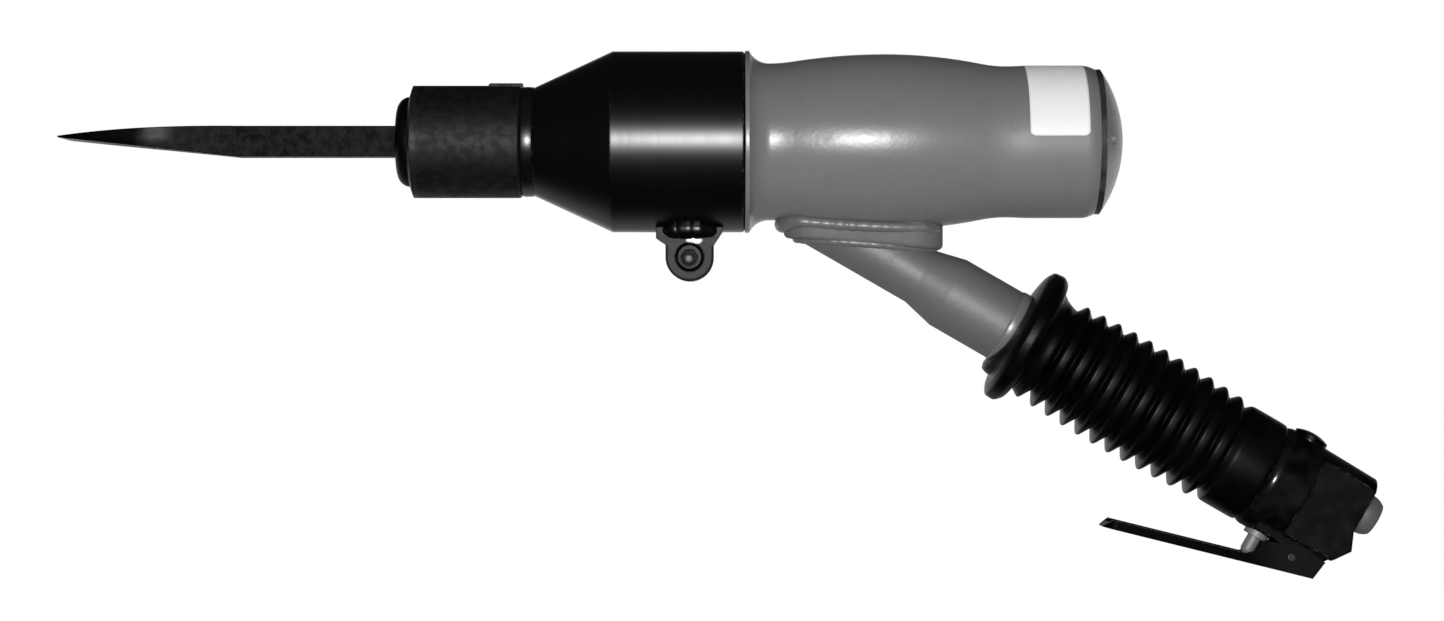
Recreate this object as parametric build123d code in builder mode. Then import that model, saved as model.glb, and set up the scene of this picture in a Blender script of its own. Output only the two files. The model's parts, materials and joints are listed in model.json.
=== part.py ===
from build123d import *
import math
import os

# Pneumatic chisel scaler: a hand held hammer whose piston strikes a flat chisel.
# Millimetres. X runs back along the line of strike, Z is up, Y is across.
# The origin is on the line of strike, at the mouth that the chisel comes out of.

# Fits
running_fit = 0.05
free_gap = 0.3
bar_fit = 0.15
edge_break = 0.8

# Chisel, forged from square bar
bar = 11.0
chisel_reach = 119.2
bevel_length = 63.0
edge_width = 24.0
edge_thickness = 0.6
edge_rise = 1.6
flare_length = 68.0
blade_crown = 1.2
tail_inset = 0.3
tail_length = 5.0
chisel_travel = 6.0
notch_depth = 2.9

# Chisel holder and what sits on it
nose_cap_length = 5.4
nose_cap_radius = 16.2
nose_cap_lean = 0.8
nose_plug_radius = 12.5
nose_plug_length = 4.0
holder_radius = 20.2
holder_length = 40.2
holder_chamfer_run = 1.2
holder_chamfer_drop = 3.4
holder_thread_radius = 14.0
holder_thread_length = 14.0
ring_groove_width = 4.4
ring_groove_radius = 17.6
key_ring_radius = 19.8
key_ring_crown = 1.2
key_ring_crest = 3.0
key_length = 12.0
key_width = 9.0
key_rise = 0.9
key_seat_radius = 15.2
key_tail_thickness = 1.6
key_edge = 0.8
tooth_length = 6.0
tooth_width = 5.0

# Front tube, a cone and a straight barrel, split and clamped at the back
tube_radius = 32.5
tube_wall = 2.6
chamber_wall = 5.0
cone_front_radius = 19.5
cone_length = 28.1
straight_length = 47.5
spring_seat_depth = 45.4
hammer_gap = 1.2
spigot_length = 24.6
slot_width = 3.0
slot_length = 37.0
ear_radius = 8.6
ear_drop = 9.1
ear_setback = 19.8
ear_thickness = 9.0
ear_foot = 24.0
ear_foot_depth = 4.6
ear_heel = 0.5

# Clamp screw, M6 socket cap, with its washer and nut
screw_radius = 3.0
screw_head_radius = 5.0
screw_head_height = 6.0
screw_head_sink = 4.6
screw_socket_flats = 5.0
screw_socket_depth = 3.2
screw_tail = 1.6
nut_flats = 10.0
nut_height = 5.0
washer_radius = 6.0
washer_thickness = 1.6

# Body casing, a turned barrel shape
flange_proud = 0.2
flange_width = 1.5
neck_drop = 4.5
neck_setback = 8.6
bulge_drop = 1.2
bulge_setback = 50.4
bulge_share = 0.8
waist_drop = 5.55
waist_setback = 93.6
land_drop = 5.3
land_setback = 102.4
land_length = 18.2
casing_length = 125.2
casing_end_drop = 1.2
casing_bore = 23.0
spigot_wall = 4.4
spigot_bore_length = 19.6
air_port_radius = 6.0

# Rear cap with its seal
cap_plug_length = 12.8
cap_seal_width = 2.0
cap_step = 0.05
cap_seal_inset = 0.1
cap_rise = 8.4
cap_pocket_radius = 10.0
cap_pocket_depth = 8.0
spanner_hole_radius = 2.2
spanner_hole_offset = 22.0
spanner_hole_floor = 0.5

# Hammer line inside: piston, floating cylinder and valve
piston_radius = 13.0
piston_length = 60.0
piston_nose_radius = 9.5
piston_nose_length = 9.0
piston_stroke = 42.0
piston_groove_shares = (0.45, 0.75)
piston_groove_width = 2.0
piston_groove_depth = 0.8
air_cushion = 11.9
cylinder_float = 3.0
cylinder_end_gap = 1.0
cylinder_wall = 6.5
cylinder_head = 4.0
front_land_setback = 38.0
land_width = 8.0
seal_section = 2.6
port_radius = 2.4
exhaust_port_setback = 20.0
feed_port_setback = 78.0
valve_plate_thickness = 5.0
valve_chest_length = 12.0
valve_chest_gap = 0.8
valve_pocket_radius = 10.0
valve_pocket_depth = 5.0
valve_feed_radius = 1.7
valve_disc_gap = 0.4
head_port_radius = 3.8
valve_disc_thickness = 2.0
chest_screw_count = 3
chest_screw_circle = 16.3
chest_screw_radius = 2.0
chest_screw_head_radius = 3.4
chest_screw_head_height = 4.0
chest_screw_grip = 8.0
chest_socket_flats = 3.0
chest_socket_depth = 2.0
front_spring_wire = 2.8
front_spring_turns = 5
rear_spring_wire = 2.8
rear_spring_turns = 4

# Handle: a swaged pipe, welded to the casing through a saddle
handle_angle = 30.0
handle_setback = 33.94
handle_lead = 56.88
pipe_radius = 13.45
strut_radius = 10.65
pipe_wall = 2.3
swage_start = -23.3
swage_end = -11.6
saddle_lead = 19.94
saddle_length = 57.2
saddle_margin = 1.4
saddle_front_drop = 3.0
saddle_rear_drop = 7.6
saddle_edge = 1.9

# Rubber grip
grip_start = 13.0
grip_collar_length = 6.3
grip_collar_radius = 17.1
grip_collar_edge = 1.5
grip_flange_length = 5.0
grip_flange_radius = 25.2
grip_flange_edge = 1.2
grip_flange_back = 1.8
grip_flange_back_drop = 2.4
grip_hub_length = 1.1
grip_rib_count = 12
grip_rib_pitch = 6.33
grip_rib_depth = 3.0
grip_rib_flat = 1.0
grip_end_radius = 19.6
grip_belly = 1.5
grip_cuff_length = 14.9
grip_cuff_step = 0.1
grip_cuff_gap = 5.0

# Throttle body on the end of the pipe
throttle_radius = 19.5
throttle_taper = 0.8
throttle_length = 40.1
throttle_shoulder_run = 3.0
throttle_shoulder_drop = 1.2
throttle_chamfer = 3.2
throttle_spigot = 24.0
chin_depth = 2.9
chin_start = 2.0
heel_offset = 8.7
heel_run = 7.6
flat_setback = 15.5
flat_offset = 12.0
tongue_setback = 6.4
tongue_gap = 1.0
tongue_half = 6.0
passage_radius = 3.8
outlet_offset = 5.5

# Throttle valve, which runs across the throttle body
plug_margin = 3.4
valve_chamber_radius = 5.5
valve_seat_offset = 2.0
valve_seat_radius = 3.8
valve_gland_offset = 9.0
stem_radius = 2.5
stem_bush_radius = 4.5
stem_bush_gap = 4.2
stem_seal_length = 2.0
stem_seal_radius = 3.7
stem_head_gap = 0.6
stem_head_height = 2.2
stem_face_thickness = 1.0
stem_lever_gap = 0.4
plug_sink = 1.3
plug_radius = 6.3
plug_rise = 2.9
plug_thread_length = 6.0
plug_washer_thickness = 0.8
plug_key_flats = 4.0
plug_key_depth = 2.4
valve_spring_wire = 0.9
valve_spring_turns = 6

# Air inlet
inlet_offset = -5.8
inlet_thread_radius = 5.72
inlet_thread_length = 13.7
inlet_bush_radius = 7.5
inlet_bush_rise = 6.9
inlet_bush_round = 4.6
inlet_bush_drop = 1.6
inlet_bush_tail_radius = 7.0
inlet_bush_tail = 12.0
strainer_radius = 5.2
strainer_thickness = 0.8
strainer_hole = 0.5
strainer_pitch = 1.5
strainer_rows = 5

# Throttle lever, a folded steel channel on a cross pin
pin_setback = 23.4
pin_offset = 21.0
pin_radius = 1.5
lever_angle = 16.1
lever_travel = 14.0
lever_front = 68.0
lever_rear = 9.2
lever_sheet = 2.0
lever_lip = 3.2
lever_tip_slant = 3.0
lever_tip_corner = 5.0
lever_cheek_start = 16.0
lever_cheek_front = 11.2
lever_cheek_rise = 0.2
lever_cheek_top = 3.35
lever_heel = 12.2
lever_heel_rise = 1.1
lever_boss_radius = 4.8
lever_web_gap = 0.35
lug_radius = 3.3

# Places along the line of strike
tail_radius = bar / 2 - tail_inset
holder_front = nose_cap_length
holder_rear = holder_front + holder_length
tube_front = holder_rear + ring_groove_width
cone_rear = tube_front + cone_length
tube_rear = cone_rear + straight_length
spring_seat = tube_rear - spring_seat_depth
spigot_front = tube_rear - spigot_length
flange_radius = tube_radius + flange_proud
neck_radius = flange_radius - neck_drop
bulge_radius = flange_radius - bulge_drop
waist_radius = flange_radius - waist_drop
land_radius = flange_radius - land_drop
socket_radius = tube_radius - tube_wall
chamber_radius = tube_radius - chamber_wall
casing_rear = tube_rear + casing_length
cap_radius = land_radius - casing_end_drop - cap_step
cap_seal_radius = cap_radius - cap_seal_inset
cap_face = casing_rear - cap_plug_length
cap_front = casing_rear + cap_seal_width
thread_rear = tube_front + holder_thread_length
hammer_bore = piston_radius + hammer_gap
chisel_tail = thread_rear + tail_length
piston_front = chisel_tail + free_gap
piston_limit = piston_front + piston_length + piston_stroke
cylinder_front = spring_seat + cylinder_float + cylinder_end_gap
cylinder_rear = piston_limit + air_cushion + cylinder_float + cylinder_head
cylinder_length = cylinder_rear - cylinder_front
cylinder_bore = piston_radius + running_fit
cylinder_radius = cylinder_bore + cylinder_wall
guide_radius = casing_bore - running_fit
valve_chest_radius = casing_bore - valve_chest_gap
valve_disc_radius = valve_pocket_radius - valve_disc_gap
front_land = cylinder_front + front_land_setback
plate_rear = cylinder_rear + valve_plate_thickness
chest_rear = plate_rear + valve_chest_length

# The handle has its own directions: u runs down the pipe, v points to the lever's side
turn = math.radians(handle_angle)
u_dir = Vector(math.cos(turn), 0, -math.sin(turn))
v_dir = Vector(-math.sin(turn), 0, -math.cos(turn))
handle_root = Vector(tube_rear + handle_setback, 0, -bulge_radius)
handle_origin = handle_root + u_dir * handle_lead


def handle_point(along, toward):
    """A point in the handle's middle plane, from its distances along u and v."""
    return handle_origin + u_dir * along + v_dir * toward


def handle_section(along):
    """A plane square to the pipe: its x is v and its y is Y."""
    return Plane(origin=handle_point(along, 0), x_dir=v_dir, z_dir=u_dir)


def valve_section(toward):
    """A plane square to the valve's bore, facing the lever's side."""
    return Plane(origin=handle_point(valve_along, toward), x_dir=u_dir, z_dir=v_dir)


handle_side = Plane(origin=handle_origin, x_dir=u_dir, z_dir=(0, 1, 0))
handle_axis = Axis(handle_origin, u_dir)

# Places along the pipe
grip_cuff_radius = throttle_radius - grip_cuff_step
grip_flange_start = grip_start + grip_collar_length
grip_flange_rear = grip_flange_start + grip_flange_length
grip_ribs_start = grip_flange_rear + grip_hub_length
grip_ribs_end = grip_ribs_start + grip_rib_count * grip_rib_pitch
grip_cuff_start = grip_ribs_end + grip_cuff_gap - grip_rib_pitch / 2
throttle_front = grip_cuff_start + grip_cuff_length
throttle_rear = throttle_front + throttle_length
valve_along = throttle_front + plug_radius + plug_margin
pin_along = throttle_front + pin_setback
plug_seat = throttle_radius - plug_sink
stem_head_radius = valve_chamber_radius - stem_head_gap
tongue_ledge = pin_offset - lever_boss_radius - tongue_gap
valve_axis = Axis(handle_point(valve_along, 0), v_dir)
inlet_axis = Axis(handle_point(0, inlet_offset), u_dir)

# The lever's own directions from its pin: along the lever, and up towards the handle
tilt = math.radians(lever_angle)
lever_dir = u_dir * math.cos(tilt) - v_dir * math.sin(tilt)
lever_up = u_dir * -math.sin(tilt) - v_dir * math.cos(tilt)
lever_side = Plane(origin=handle_point(pin_along, pin_offset), x_dir=lever_dir, z_dir=(0, -1, 0))
lever_plan = Plane(origin=handle_point(pin_along, pin_offset), x_dir=lever_dir, z_dir=lever_up)
web_inner = lug_radius + lever_web_gap
web_outer = web_inner + lever_sheet
lever_inner = tongue_half + free_gap
lever_half = lever_inner + lever_sheet
web_over_valve = (web_inner + (pin_along - valve_along) * math.sin(tilt)) / math.cos(tilt)
stem_tip = pin_offset + web_over_valve - stem_lever_gap
squeezed = tilt - math.radians(lever_travel)
web_squeezed = (web_inner + (pin_along - valve_along) * math.sin(squeezed)) / math.cos(squeezed)
stem_travel = web_over_valve - web_squeezed


def coil_arcs(place, radius, start_height, rise, turns):
    """Pairs of tangent arcs, a pair to each quarter turn of a helix about a plane's normal."""

    def station(angle):
        swing = 2 * math.pi * angle
        side = place.x_dir * math.cos(swing) + place.y_dir * math.sin(swing)
        ahead = place.y_dir * math.cos(swing) - place.x_dir * math.sin(swing)
        point = place.origin + side * radius + place.z_dir * (start_height + rise * angle)
        way = ahead * (2 * math.pi * radius) + place.z_dir * rise
        return point, way.normalized()

    arcs = []
    for step in range(round(turns * 4)):
        start, start_way = station(step / 4)
        end, end_way = station((step + 1) / 4)
        chord = end - start
        spread = 2 * (1 - start_way.dot(end_way))
        lean = 2 * chord.dot(start_way + end_way)
        reach = (math.sqrt(lean * lean + 4 * spread * chord.dot(chord)) - lean) / (2 * spread)
        middle = (start + start_way * reach + end - end_way * reach) * 0.5
        first = Edge.make_tangent_arc(start, start_way, middle)
        second = Edge.make_tangent_arc(middle, first.tangent_at(1), end)
        arcs.extend([first, second])
    return arcs


def coil_path(name, place, radius, wire, length, turns):
    """The middle line of a spring that stands on a plane, its ends left to be ground flat."""
    rise = (length - wire / 2) / turns
    print(name, "least gap between turns", round(rise - wire, 2), "mm")
    return Wire(coil_arcs(place, radius, wire / 4, rise, turns))


os.makedirs("parts", exist_ok=True)

# Chisel: a flat blade flared from the bar, a notch for the key and a round struck end
bevel_start = -chisel_reach + bevel_length
flare_start = -chisel_reach + flare_length
blade_middle = -chisel_reach + bevel_length / 2
crown_height = (bar / 2 + edge_rise) / 2 + blade_crown
square_rear = chisel_tail - tail_length
key_front = holder_rear - key_length
tooth_front = key_front + (key_length - tooth_length) / 2
tooth_rear = tooth_front + tooth_length
notch_front = tooth_front - free_gap
notch_rear = tooth_rear + chisel_travel + free_gap
with BuildPart() as chisel:
    with BuildSketch(Plane.XZ):
        with BuildLine():
            Polyline(
                (-chisel_reach, edge_rise),
                (-chisel_reach, edge_rise - edge_thickness),
                (bevel_start, -bar / 2),
                (square_rear, -bar / 2),
                (square_rear, bar / 2),
                (bevel_start, bar / 2),
            )
            ThreePointArc((bevel_start, bar / 2), (blade_middle, crown_height), (-chisel_reach, edge_rise))
        make_face()
    extrude(amount=edge_width / 2, both=True)
    with BuildSketch(Plane.XY):
        with BuildLine():
            Polyline(
                (flare_start, bar / 2),
                (square_rear, bar / 2),
                (square_rear, -bar / 2),
                (flare_start, -bar / 2),
            )
            flare_low = Bezier(
                (flare_start, -bar / 2),
                (flare_start - flare_length / 2, -bar / 2),
                (flare_start - flare_length / 2, -edge_width / 2),
                (-chisel_reach, -edge_width / 2),
            )
            Line(flare_low @ 1, (-chisel_reach, edge_width / 2))
            Bezier(
                (-chisel_reach, edge_width / 2),
                (flare_start - flare_length / 2, edge_width / 2),
                (flare_start - flare_length / 2, bar / 2),
                (flare_start, bar / 2),
            )
        make_face()
    extrude(amount=bar, both=True, mode=Mode.INTERSECT)
    with BuildSketch(Plane.YZ.offset(square_rear)):
        Circle(tail_radius)
    extrude(amount=tail_length)
    with BuildSketch(Plane.XZ):
        with Locations(((notch_front + notch_rear) / 2, bar / 2)):
            Rectangle(notch_rear - notch_front, 2 * notch_depth)
    extrude(amount=bar, both=True, mode=Mode.SUBTRACT)
    chamfer(chisel.edges().filter_by(GeomType.CIRCLE).sort_by(Axis.X)[-1], edge_break)
chisel.part.label = "chisel"
export_step(chisel.part, "parts/chisel.step")

# Chisel holder: a steel sleeve with a square bore, screwed into the front tube
bore_side = bar + 2 * bar_fit
with BuildPart() as chisel_holder:
    with BuildSketch(Plane.XZ):
        with BuildLine():
            Polyline(
                (holder_front, 0),
                (holder_front, holder_radius - holder_chamfer_drop),
                (holder_front + holder_chamfer_run, holder_radius),
                (holder_rear - edge_break, holder_radius),
                (holder_rear, holder_radius - edge_break),
                (holder_rear, ring_groove_radius),
                (tube_front, ring_groove_radius),
                (tube_front, holder_thread_radius),
                (thread_rear, holder_thread_radius),
                (thread_rear, 0),
                close=True,
            )
        make_face()
    revolve(axis=Axis.X)
    with BuildSketch(Plane.YZ.offset(holder_front)):
        Rectangle(bore_side, bore_side)
    extrude(amount=thread_rear - holder_front, mode=Mode.SUBTRACT)
    with BuildSketch(Plane.YZ.offset(holder_front)):
        Circle(nose_plug_radius)
    extrude(amount=nose_plug_length, mode=Mode.SUBTRACT)
    with BuildSketch(Plane.YZ.offset(key_front - bar_fit)):
        with Locations((0, key_seat_radius - bar_fit)):
            Rectangle(key_width + 2 * bar_fit, holder_radius, align=(Align.CENTER, Align.MIN))
    extrude(amount=tube_front - key_front + bar_fit, mode=Mode.SUBTRACT)
    with BuildSketch(Plane.XY):
        with Locations(((tooth_front + tooth_rear) / 2, 0)):
            Rectangle(tooth_length + 2 * bar_fit, tooth_width + 2 * bar_fit)
    extrude(amount=holder_radius, mode=Mode.SUBTRACT)
chisel_holder.part.label = "chisel_holder"
export_step(chisel_holder.part, "parts/chisel_holder.step")

# Nose cap: a rubber wiper with a square mouth and a round brow, plugged into the holder's front
brow_radius = nose_cap_length - nose_cap_lean
brow_inset = brow_radius * (1 - math.sqrt(0.5))
with BuildPart() as nose_cap:
    with BuildSketch(Plane.XZ):
        with BuildLine():
            face = Line((0, 0), (nose_cap_lean, nose_cap_radius - brow_radius))
            brow = ThreePointArc(
                face @ 1,
                (nose_cap_lean + brow_inset, nose_cap_radius - brow_inset),
                (holder_front, nose_cap_radius),
            )
            Polyline(
                brow @ 1,
                (holder_front, nose_plug_radius),
                (holder_front + nose_plug_length, nose_plug_radius),
                (holder_front + nose_plug_length, 0),
                (0, 0),
            )
        make_face()
    revolve(axis=Axis.X)
    with BuildSketch(Plane.YZ):
        Rectangle(bar + 2 * free_gap, bar + 2 * free_gap)
    extrude(amount=holder_front + nose_plug_length, mode=Mode.SUBTRACT)
nose_cap.part.label = "nose_cap"
export_step(nose_cap.part, "parts/nose_cap.step")

# Retaining key: a pad on top of the holder whose tooth drops into the chisel's notch
tooth_bottom = bar / 2 - notch_depth + free_gap
with BuildPart() as retaining_key:
    with BuildSketch(Plane.YZ.offset(key_front)):
        Circle(holder_radius + key_rise)
        with Locations((0, key_seat_radius)):
            Rectangle(key_width, holder_radius, align=(Align.CENTER, Align.MIN), mode=Mode.INTERSECT)
    extrude(amount=key_length)
    fillet(retaining_key.faces().sort_by(Axis.X)[0].edges().sort_by(Axis.Z)[-1], key_edge)
    with BuildSketch(Plane.YZ.offset(holder_rear)):
        with Locations((0, key_seat_radius)):
            Rectangle(key_width, key_tail_thickness, align=(Align.CENTER, Align.MIN))
    extrude(amount=ring_groove_width)
    with BuildSketch(Plane.XY.offset(tooth_bottom)):
        with Locations(((tooth_front + tooth_rear) / 2, 0)):
            Rectangle(tooth_length, tooth_width)
    extrude(amount=key_seat_radius - tooth_bottom)
retaining_key.part.label = "retaining_key"
export_step(retaining_key.part, "parts/retaining_key.step")

# Key ring: a rubber ring, crowned towards its back, in the groove behind the sleeve, over the key's tail
ring_shoulder = key_ring_radius - key_ring_crown
ring_curve = (key_ring_crest**2 + key_ring_crown**2) / (2 * key_ring_crown)
ring_run = ring_groove_width - key_ring_crest
ring_rear_radius = key_ring_radius - ring_curve + math.sqrt(ring_curve**2 - ring_run**2)
with BuildPart() as key_ring:
    with BuildSketch(Plane.XZ):
        with BuildLine():
            Polyline(
                (tube_front, ring_rear_radius),
                (tube_front, ring_groove_radius),
                (holder_rear, ring_groove_radius),
                (holder_rear, ring_shoulder),
            )
            ThreePointArc(
                (holder_rear, ring_shoulder),
                (holder_rear + key_ring_crest, key_ring_radius),
                (tube_front, ring_rear_radius),
            )
        make_face()
    revolve(axis=Axis.X)
key_ring.part.label = "key_ring"
export_step(key_ring.part, "parts/key_ring.step")

# Front tube: cone and barrel in one, stepped inside for the spring and the casing's spigot
slot_front = tube_rear - slot_length
with BuildPart() as front_tube:
    with BuildSketch(Plane.XZ):
        with BuildLine():
            Polyline(
                (tube_front, holder_thread_radius),
                (tube_front, cone_front_radius),
                (cone_rear, tube_radius),
                (tube_rear - edge_break, tube_radius),
                (tube_rear, tube_radius - edge_break),
                (tube_rear, socket_radius),
                (spigot_front, socket_radius),
                (spigot_front, chamber_radius),
                (spring_seat, chamber_radius),
                (spring_seat, hammer_bore),
                (thread_rear, hammer_bore),
                (thread_rear, holder_thread_radius),
                close=True,
            )
        make_face()
    revolve(axis=Axis.X)
    with BuildSketch(Plane.XY.offset(-chamber_radius / 2)):
        with Locations((slot_front, 0)):
            Rectangle(slot_length, slot_width, align=(Align.MIN, Align.CENTER))
    extrude(amount=-tube_radius, mode=Mode.SUBTRACT)
front_tube.part.label = "front_tube"
export_step(front_tube.part, "parts/front_tube.step")

# Clamp ears: two lugs welded to the tube on each side of its slot, bored for the screw
ear_x = tube_rear - ear_setback
ear_z = -tube_radius - ear_drop
ear_face = slot_width / 2 + ear_thickness
with BuildPart() as clamp_ears:
    with BuildSketch(Plane.XZ):
        with BuildLine():
            Polyline(
                (ear_x - ear_radius, ear_z),
                (ear_x - ear_radius, -tube_radius - ear_foot_depth),
                (ear_x - ear_foot / 2, -tube_radius - ear_foot_depth / 2),
                (ear_x - ear_foot / 2, -socket_radius),
                (ear_x + ear_foot / 2, -socket_radius),
                (ear_x + ear_foot / 2, -tube_radius + ear_heel),
                (ear_x + ear_radius, -tube_radius - ear_foot_depth),
                (ear_x + ear_radius, ear_z),
                close=True,
            )
        make_face()
        with Locations((ear_x, ear_z)):
            Circle(ear_radius)
    extrude(amount=ear_face, both=True)
    with BuildSketch(Plane.YZ.offset(cone_rear)):
        Circle(tube_radius)
    extrude(amount=straight_length, mode=Mode.SUBTRACT)
    with BuildSketch(Plane.XZ):
        with Locations((ear_x, ear_z + ear_drop)):
            Rectangle(2 * ear_foot, 6 * ear_drop)
    extrude(amount=slot_width / 2, both=True, mode=Mode.SUBTRACT)
    with BuildSketch(Plane.XZ):
        with Locations((ear_x, ear_z)):
            Circle(screw_radius)
    extrude(amount=ear_face, both=True, mode=Mode.SUBTRACT)
    with BuildSketch(Plane.XZ.offset(ear_face)):
        with Locations((ear_x, ear_z)):
            Circle(screw_head_radius + free_gap)
    extrude(amount=-screw_head_sink, mode=Mode.SUBTRACT)
    rims = clamp_ears.edges().filter_by(GeomType.CIRCLE)
    rims = rims.filter_by(lambda edge: abs(edge.radius - ear_radius) < free_gap)
    chamfer(rims.filter_by(lambda edge: abs(edge.center().Y) > ear_face - free_gap), edge_break)
clamp_ears.part.label = "clamp_ears"
export_step(clamp_ears.part, "parts/clamp_ears.step")

# Clamp screw: head sunk in the near ear, shank through both ears and the nut
screw_seat = ear_face - screw_head_sink
screw_end = ear_face + washer_thickness + nut_height + screw_tail
with BuildPart() as clamp_screw:
    with BuildSketch(Plane.XZ.offset(screw_seat)):
        with Locations((ear_x, ear_z)):
            Circle(screw_head_radius)
    extrude(amount=screw_head_height)
    with BuildSketch(Plane.XZ.offset(screw_seat)):
        with Locations((ear_x, ear_z)):
            Circle(screw_radius)
    extrude(amount=-(screw_seat + screw_end))
    chamfer(clamp_screw.faces().sort_by(Axis.Y)[0].edges(), edge_break)
    with BuildSketch(Plane.XZ.offset(screw_seat + screw_head_height)):
        with Locations((ear_x, ear_z)):
            RegularPolygon(screw_socket_flats / 2, 6, major_radius=False)
    extrude(amount=-screw_socket_depth, mode=Mode.SUBTRACT)
clamp_screw.part.label = "clamp_screw"
export_step(clamp_screw.part, "parts/clamp_screw.step")

# Clamp washer, under the nut on the far ear
with BuildPart() as clamp_washer:
    with BuildSketch(Plane.XZ.offset(-ear_face)):
        with Locations((ear_x, ear_z)):
            Circle(washer_radius)
            Circle(screw_radius, mode=Mode.SUBTRACT)
    extrude(amount=-washer_thickness)
clamp_washer.part.label = "clamp_washer"
export_step(clamp_washer.part, "parts/clamp_washer.step")

# Clamp nut
with BuildPart() as clamp_nut:
    with BuildSketch(Plane.XZ.offset(-ear_face - washer_thickness)):
        with Locations((ear_x, ear_z)):
            RegularPolygon(nut_flats / 2, 6, major_radius=False)
            Circle(screw_radius, mode=Mode.SUBTRACT)
    extrude(amount=-nut_height)
clamp_nut.part.label = "clamp_nut"
export_step(clamp_nut.part, "parts/clamp_nut.step")


def tangent_span(run, step):
    """The two radii's sum for a pair of arcs that swing out and back over a run and a step."""
    return (run * run + step * step) / (2 * step)


# Body casing outline: a flange, a hollow neck, a long bulge, a waist and a straight land
neck_x = tube_rear + neck_setback
bulge_x = tube_rear + bulge_setback
waist_x = tube_rear + waist_setback
land_x = tube_rear + land_setback
flange_rear = tube_rear + flange_width
front_curve = tangent_span(bulge_x - neck_x, bulge_radius - neck_radius)
rear_curve = tangent_span(waist_x - bulge_x, bulge_radius - waist_radius)
land_curve = tangent_span(land_x - waist_x, land_radius - waist_radius)
front_swing = math.degrees(math.asin((bulge_x - neck_x) / front_curve))
rear_swing = math.degrees(math.asin((waist_x - bulge_x) / rear_curve))
land_swing = math.degrees(math.asin((land_x - waist_x) / land_curve))
throat = tangent_span(neck_x - flange_rear, flange_radius - neck_radius)
land_rear = land_x + land_length
with BuildPart() as casing_envelope:
    with BuildSketch(Plane.XZ):
        with BuildLine():
            Polyline((tube_rear, 0), (tube_rear, flange_radius), (flange_rear, flange_radius))
            RadiusArc((flange_rear, flange_radius), (neck_x, neck_radius), -throat)
            rise = JernArc((neck_x, neck_radius), (1, 0), front_curve * (1 - bulge_share), front_swing)
            brow = JernArc(rise @ 1, rise % 1, front_curve * bulge_share, -front_swing)
            back = JernArc(brow @ 1, brow % 1, rear_curve * bulge_share, -rear_swing)
            hollow = JernArc(back @ 1, back % 1, rear_curve * (1 - bulge_share), rear_swing)
            swell = JernArc(hollow @ 1, hollow % 1, land_curve / 2, land_swing)
            level = JernArc(swell @ 1, swell % 1, land_curve / 2, -land_swing)
            land = Line(level @ 1, (land_rear, land_radius))
            drop = ThreePointArc(
                land @ 1,
                ((land_rear + casing_rear) / 2, land_radius - casing_end_drop / 4),
                (casing_rear, land_radius - casing_end_drop),
            )
            Polyline(drop @ 1, (casing_rear, 0), (tube_rear, 0))
        make_face()
    revolve(axis=Axis.X)

# Saddle: a pad welded under the casing, which the pipe's cut end is welded to
strut_meets = tube_rear + handle_setback - saddle_lead
saddle_rear = strut_meets + saddle_length
saddle_width = 2 * (strut_radius + saddle_margin)
with BuildPart() as handle_saddle:
    with BuildSketch(Plane.XZ):
        with BuildLine():
            Polyline(
                (strut_meets, -casing_bore),
                (saddle_rear, -casing_bore),
                (saddle_rear, -bulge_radius - saddle_rear_drop),
                (strut_meets, -bulge_radius - saddle_front_drop),
                close=True,
            )
        make_face()
    extrude(amount=saddle_width / 2, both=True)
    with BuildSketch(Plane.XY):
        with Locations(((strut_meets + saddle_rear) / 2, 0)):
            SlotOverall(saddle_length, saddle_width)
    extrude(amount=-2 * bulge_radius, mode=Mode.INTERSECT)
    fillet(handle_saddle.faces().sort_by(Axis.Z)[0].edges(), saddle_edge)
    add(casing_envelope.part, mode=Mode.SUBTRACT)
    with BuildSketch(handle_section(-2 * handle_lead)):
        Circle(air_port_radius)
    extrude(amount=2 * handle_lead, mode=Mode.SUBTRACT)
handle_saddle.part.label = "handle_saddle"
export_step(handle_saddle.part, "parts/handle_saddle.step")

# Body casing: the envelope with a spigot for the tube, a long bore and the air port
spigot_bore = socket_radius - spigot_wall
with BuildPart() as body_casing:
    add(casing_envelope.part)
    with BuildSketch(Plane.YZ.offset(spigot_front)):
        Circle(socket_radius)
    extrude(amount=spigot_length)
    with BuildSketch(Plane.YZ.offset(spigot_front)):
        Circle(spigot_bore)
    extrude(amount=spigot_bore_length, mode=Mode.SUBTRACT)
    with BuildSketch(Plane.YZ.offset(spigot_front)):
        Circle(casing_bore)
    extrude(amount=spigot_length + casing_length, mode=Mode.SUBTRACT)
    with BuildSketch(handle_section(-handle_lead - casing_bore)):
        Circle(air_port_radius)
    extrude(amount=handle_lead, mode=Mode.SUBTRACT)
body_casing.part.label = "body_casing"
export_step(body_casing.part, "parts/body_casing.step")

# Rear cap: a screwed plug with a domed head and two holes for a pin spanner
dome_curve = (cap_radius**2 + cap_rise**2) / (2 * cap_rise)
with BuildPart() as rear_cap:
    with BuildSketch(Plane.XZ):
        with BuildLine():
            Polyline(
                (cap_face + cap_pocket_depth, 0),
                (cap_face + cap_pocket_depth, cap_pocket_radius),
                (cap_face, cap_pocket_radius),
                (cap_face, casing_bore),
                (cap_front, casing_bore),
                (cap_front, cap_radius),
            )
            RadiusArc((cap_front, cap_radius), (cap_front + cap_rise, 0), dome_curve)
            Line((cap_front + cap_rise, 0), (cap_face + cap_pocket_depth, 0))
        make_face()
    revolve(axis=Axis.X)
    with BuildSketch(Plane.YZ.offset(cap_front + cap_rise)):
        with Locations((-spanner_hole_offset, 0), (spanner_hole_offset, 0)):
            Circle(spanner_hole_radius)
    extrude(amount=-cap_rise + spanner_hole_floor, mode=Mode.SUBTRACT)
rear_cap.part.label = "rear_cap"
export_step(rear_cap.part, "parts/rear_cap.step")

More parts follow.
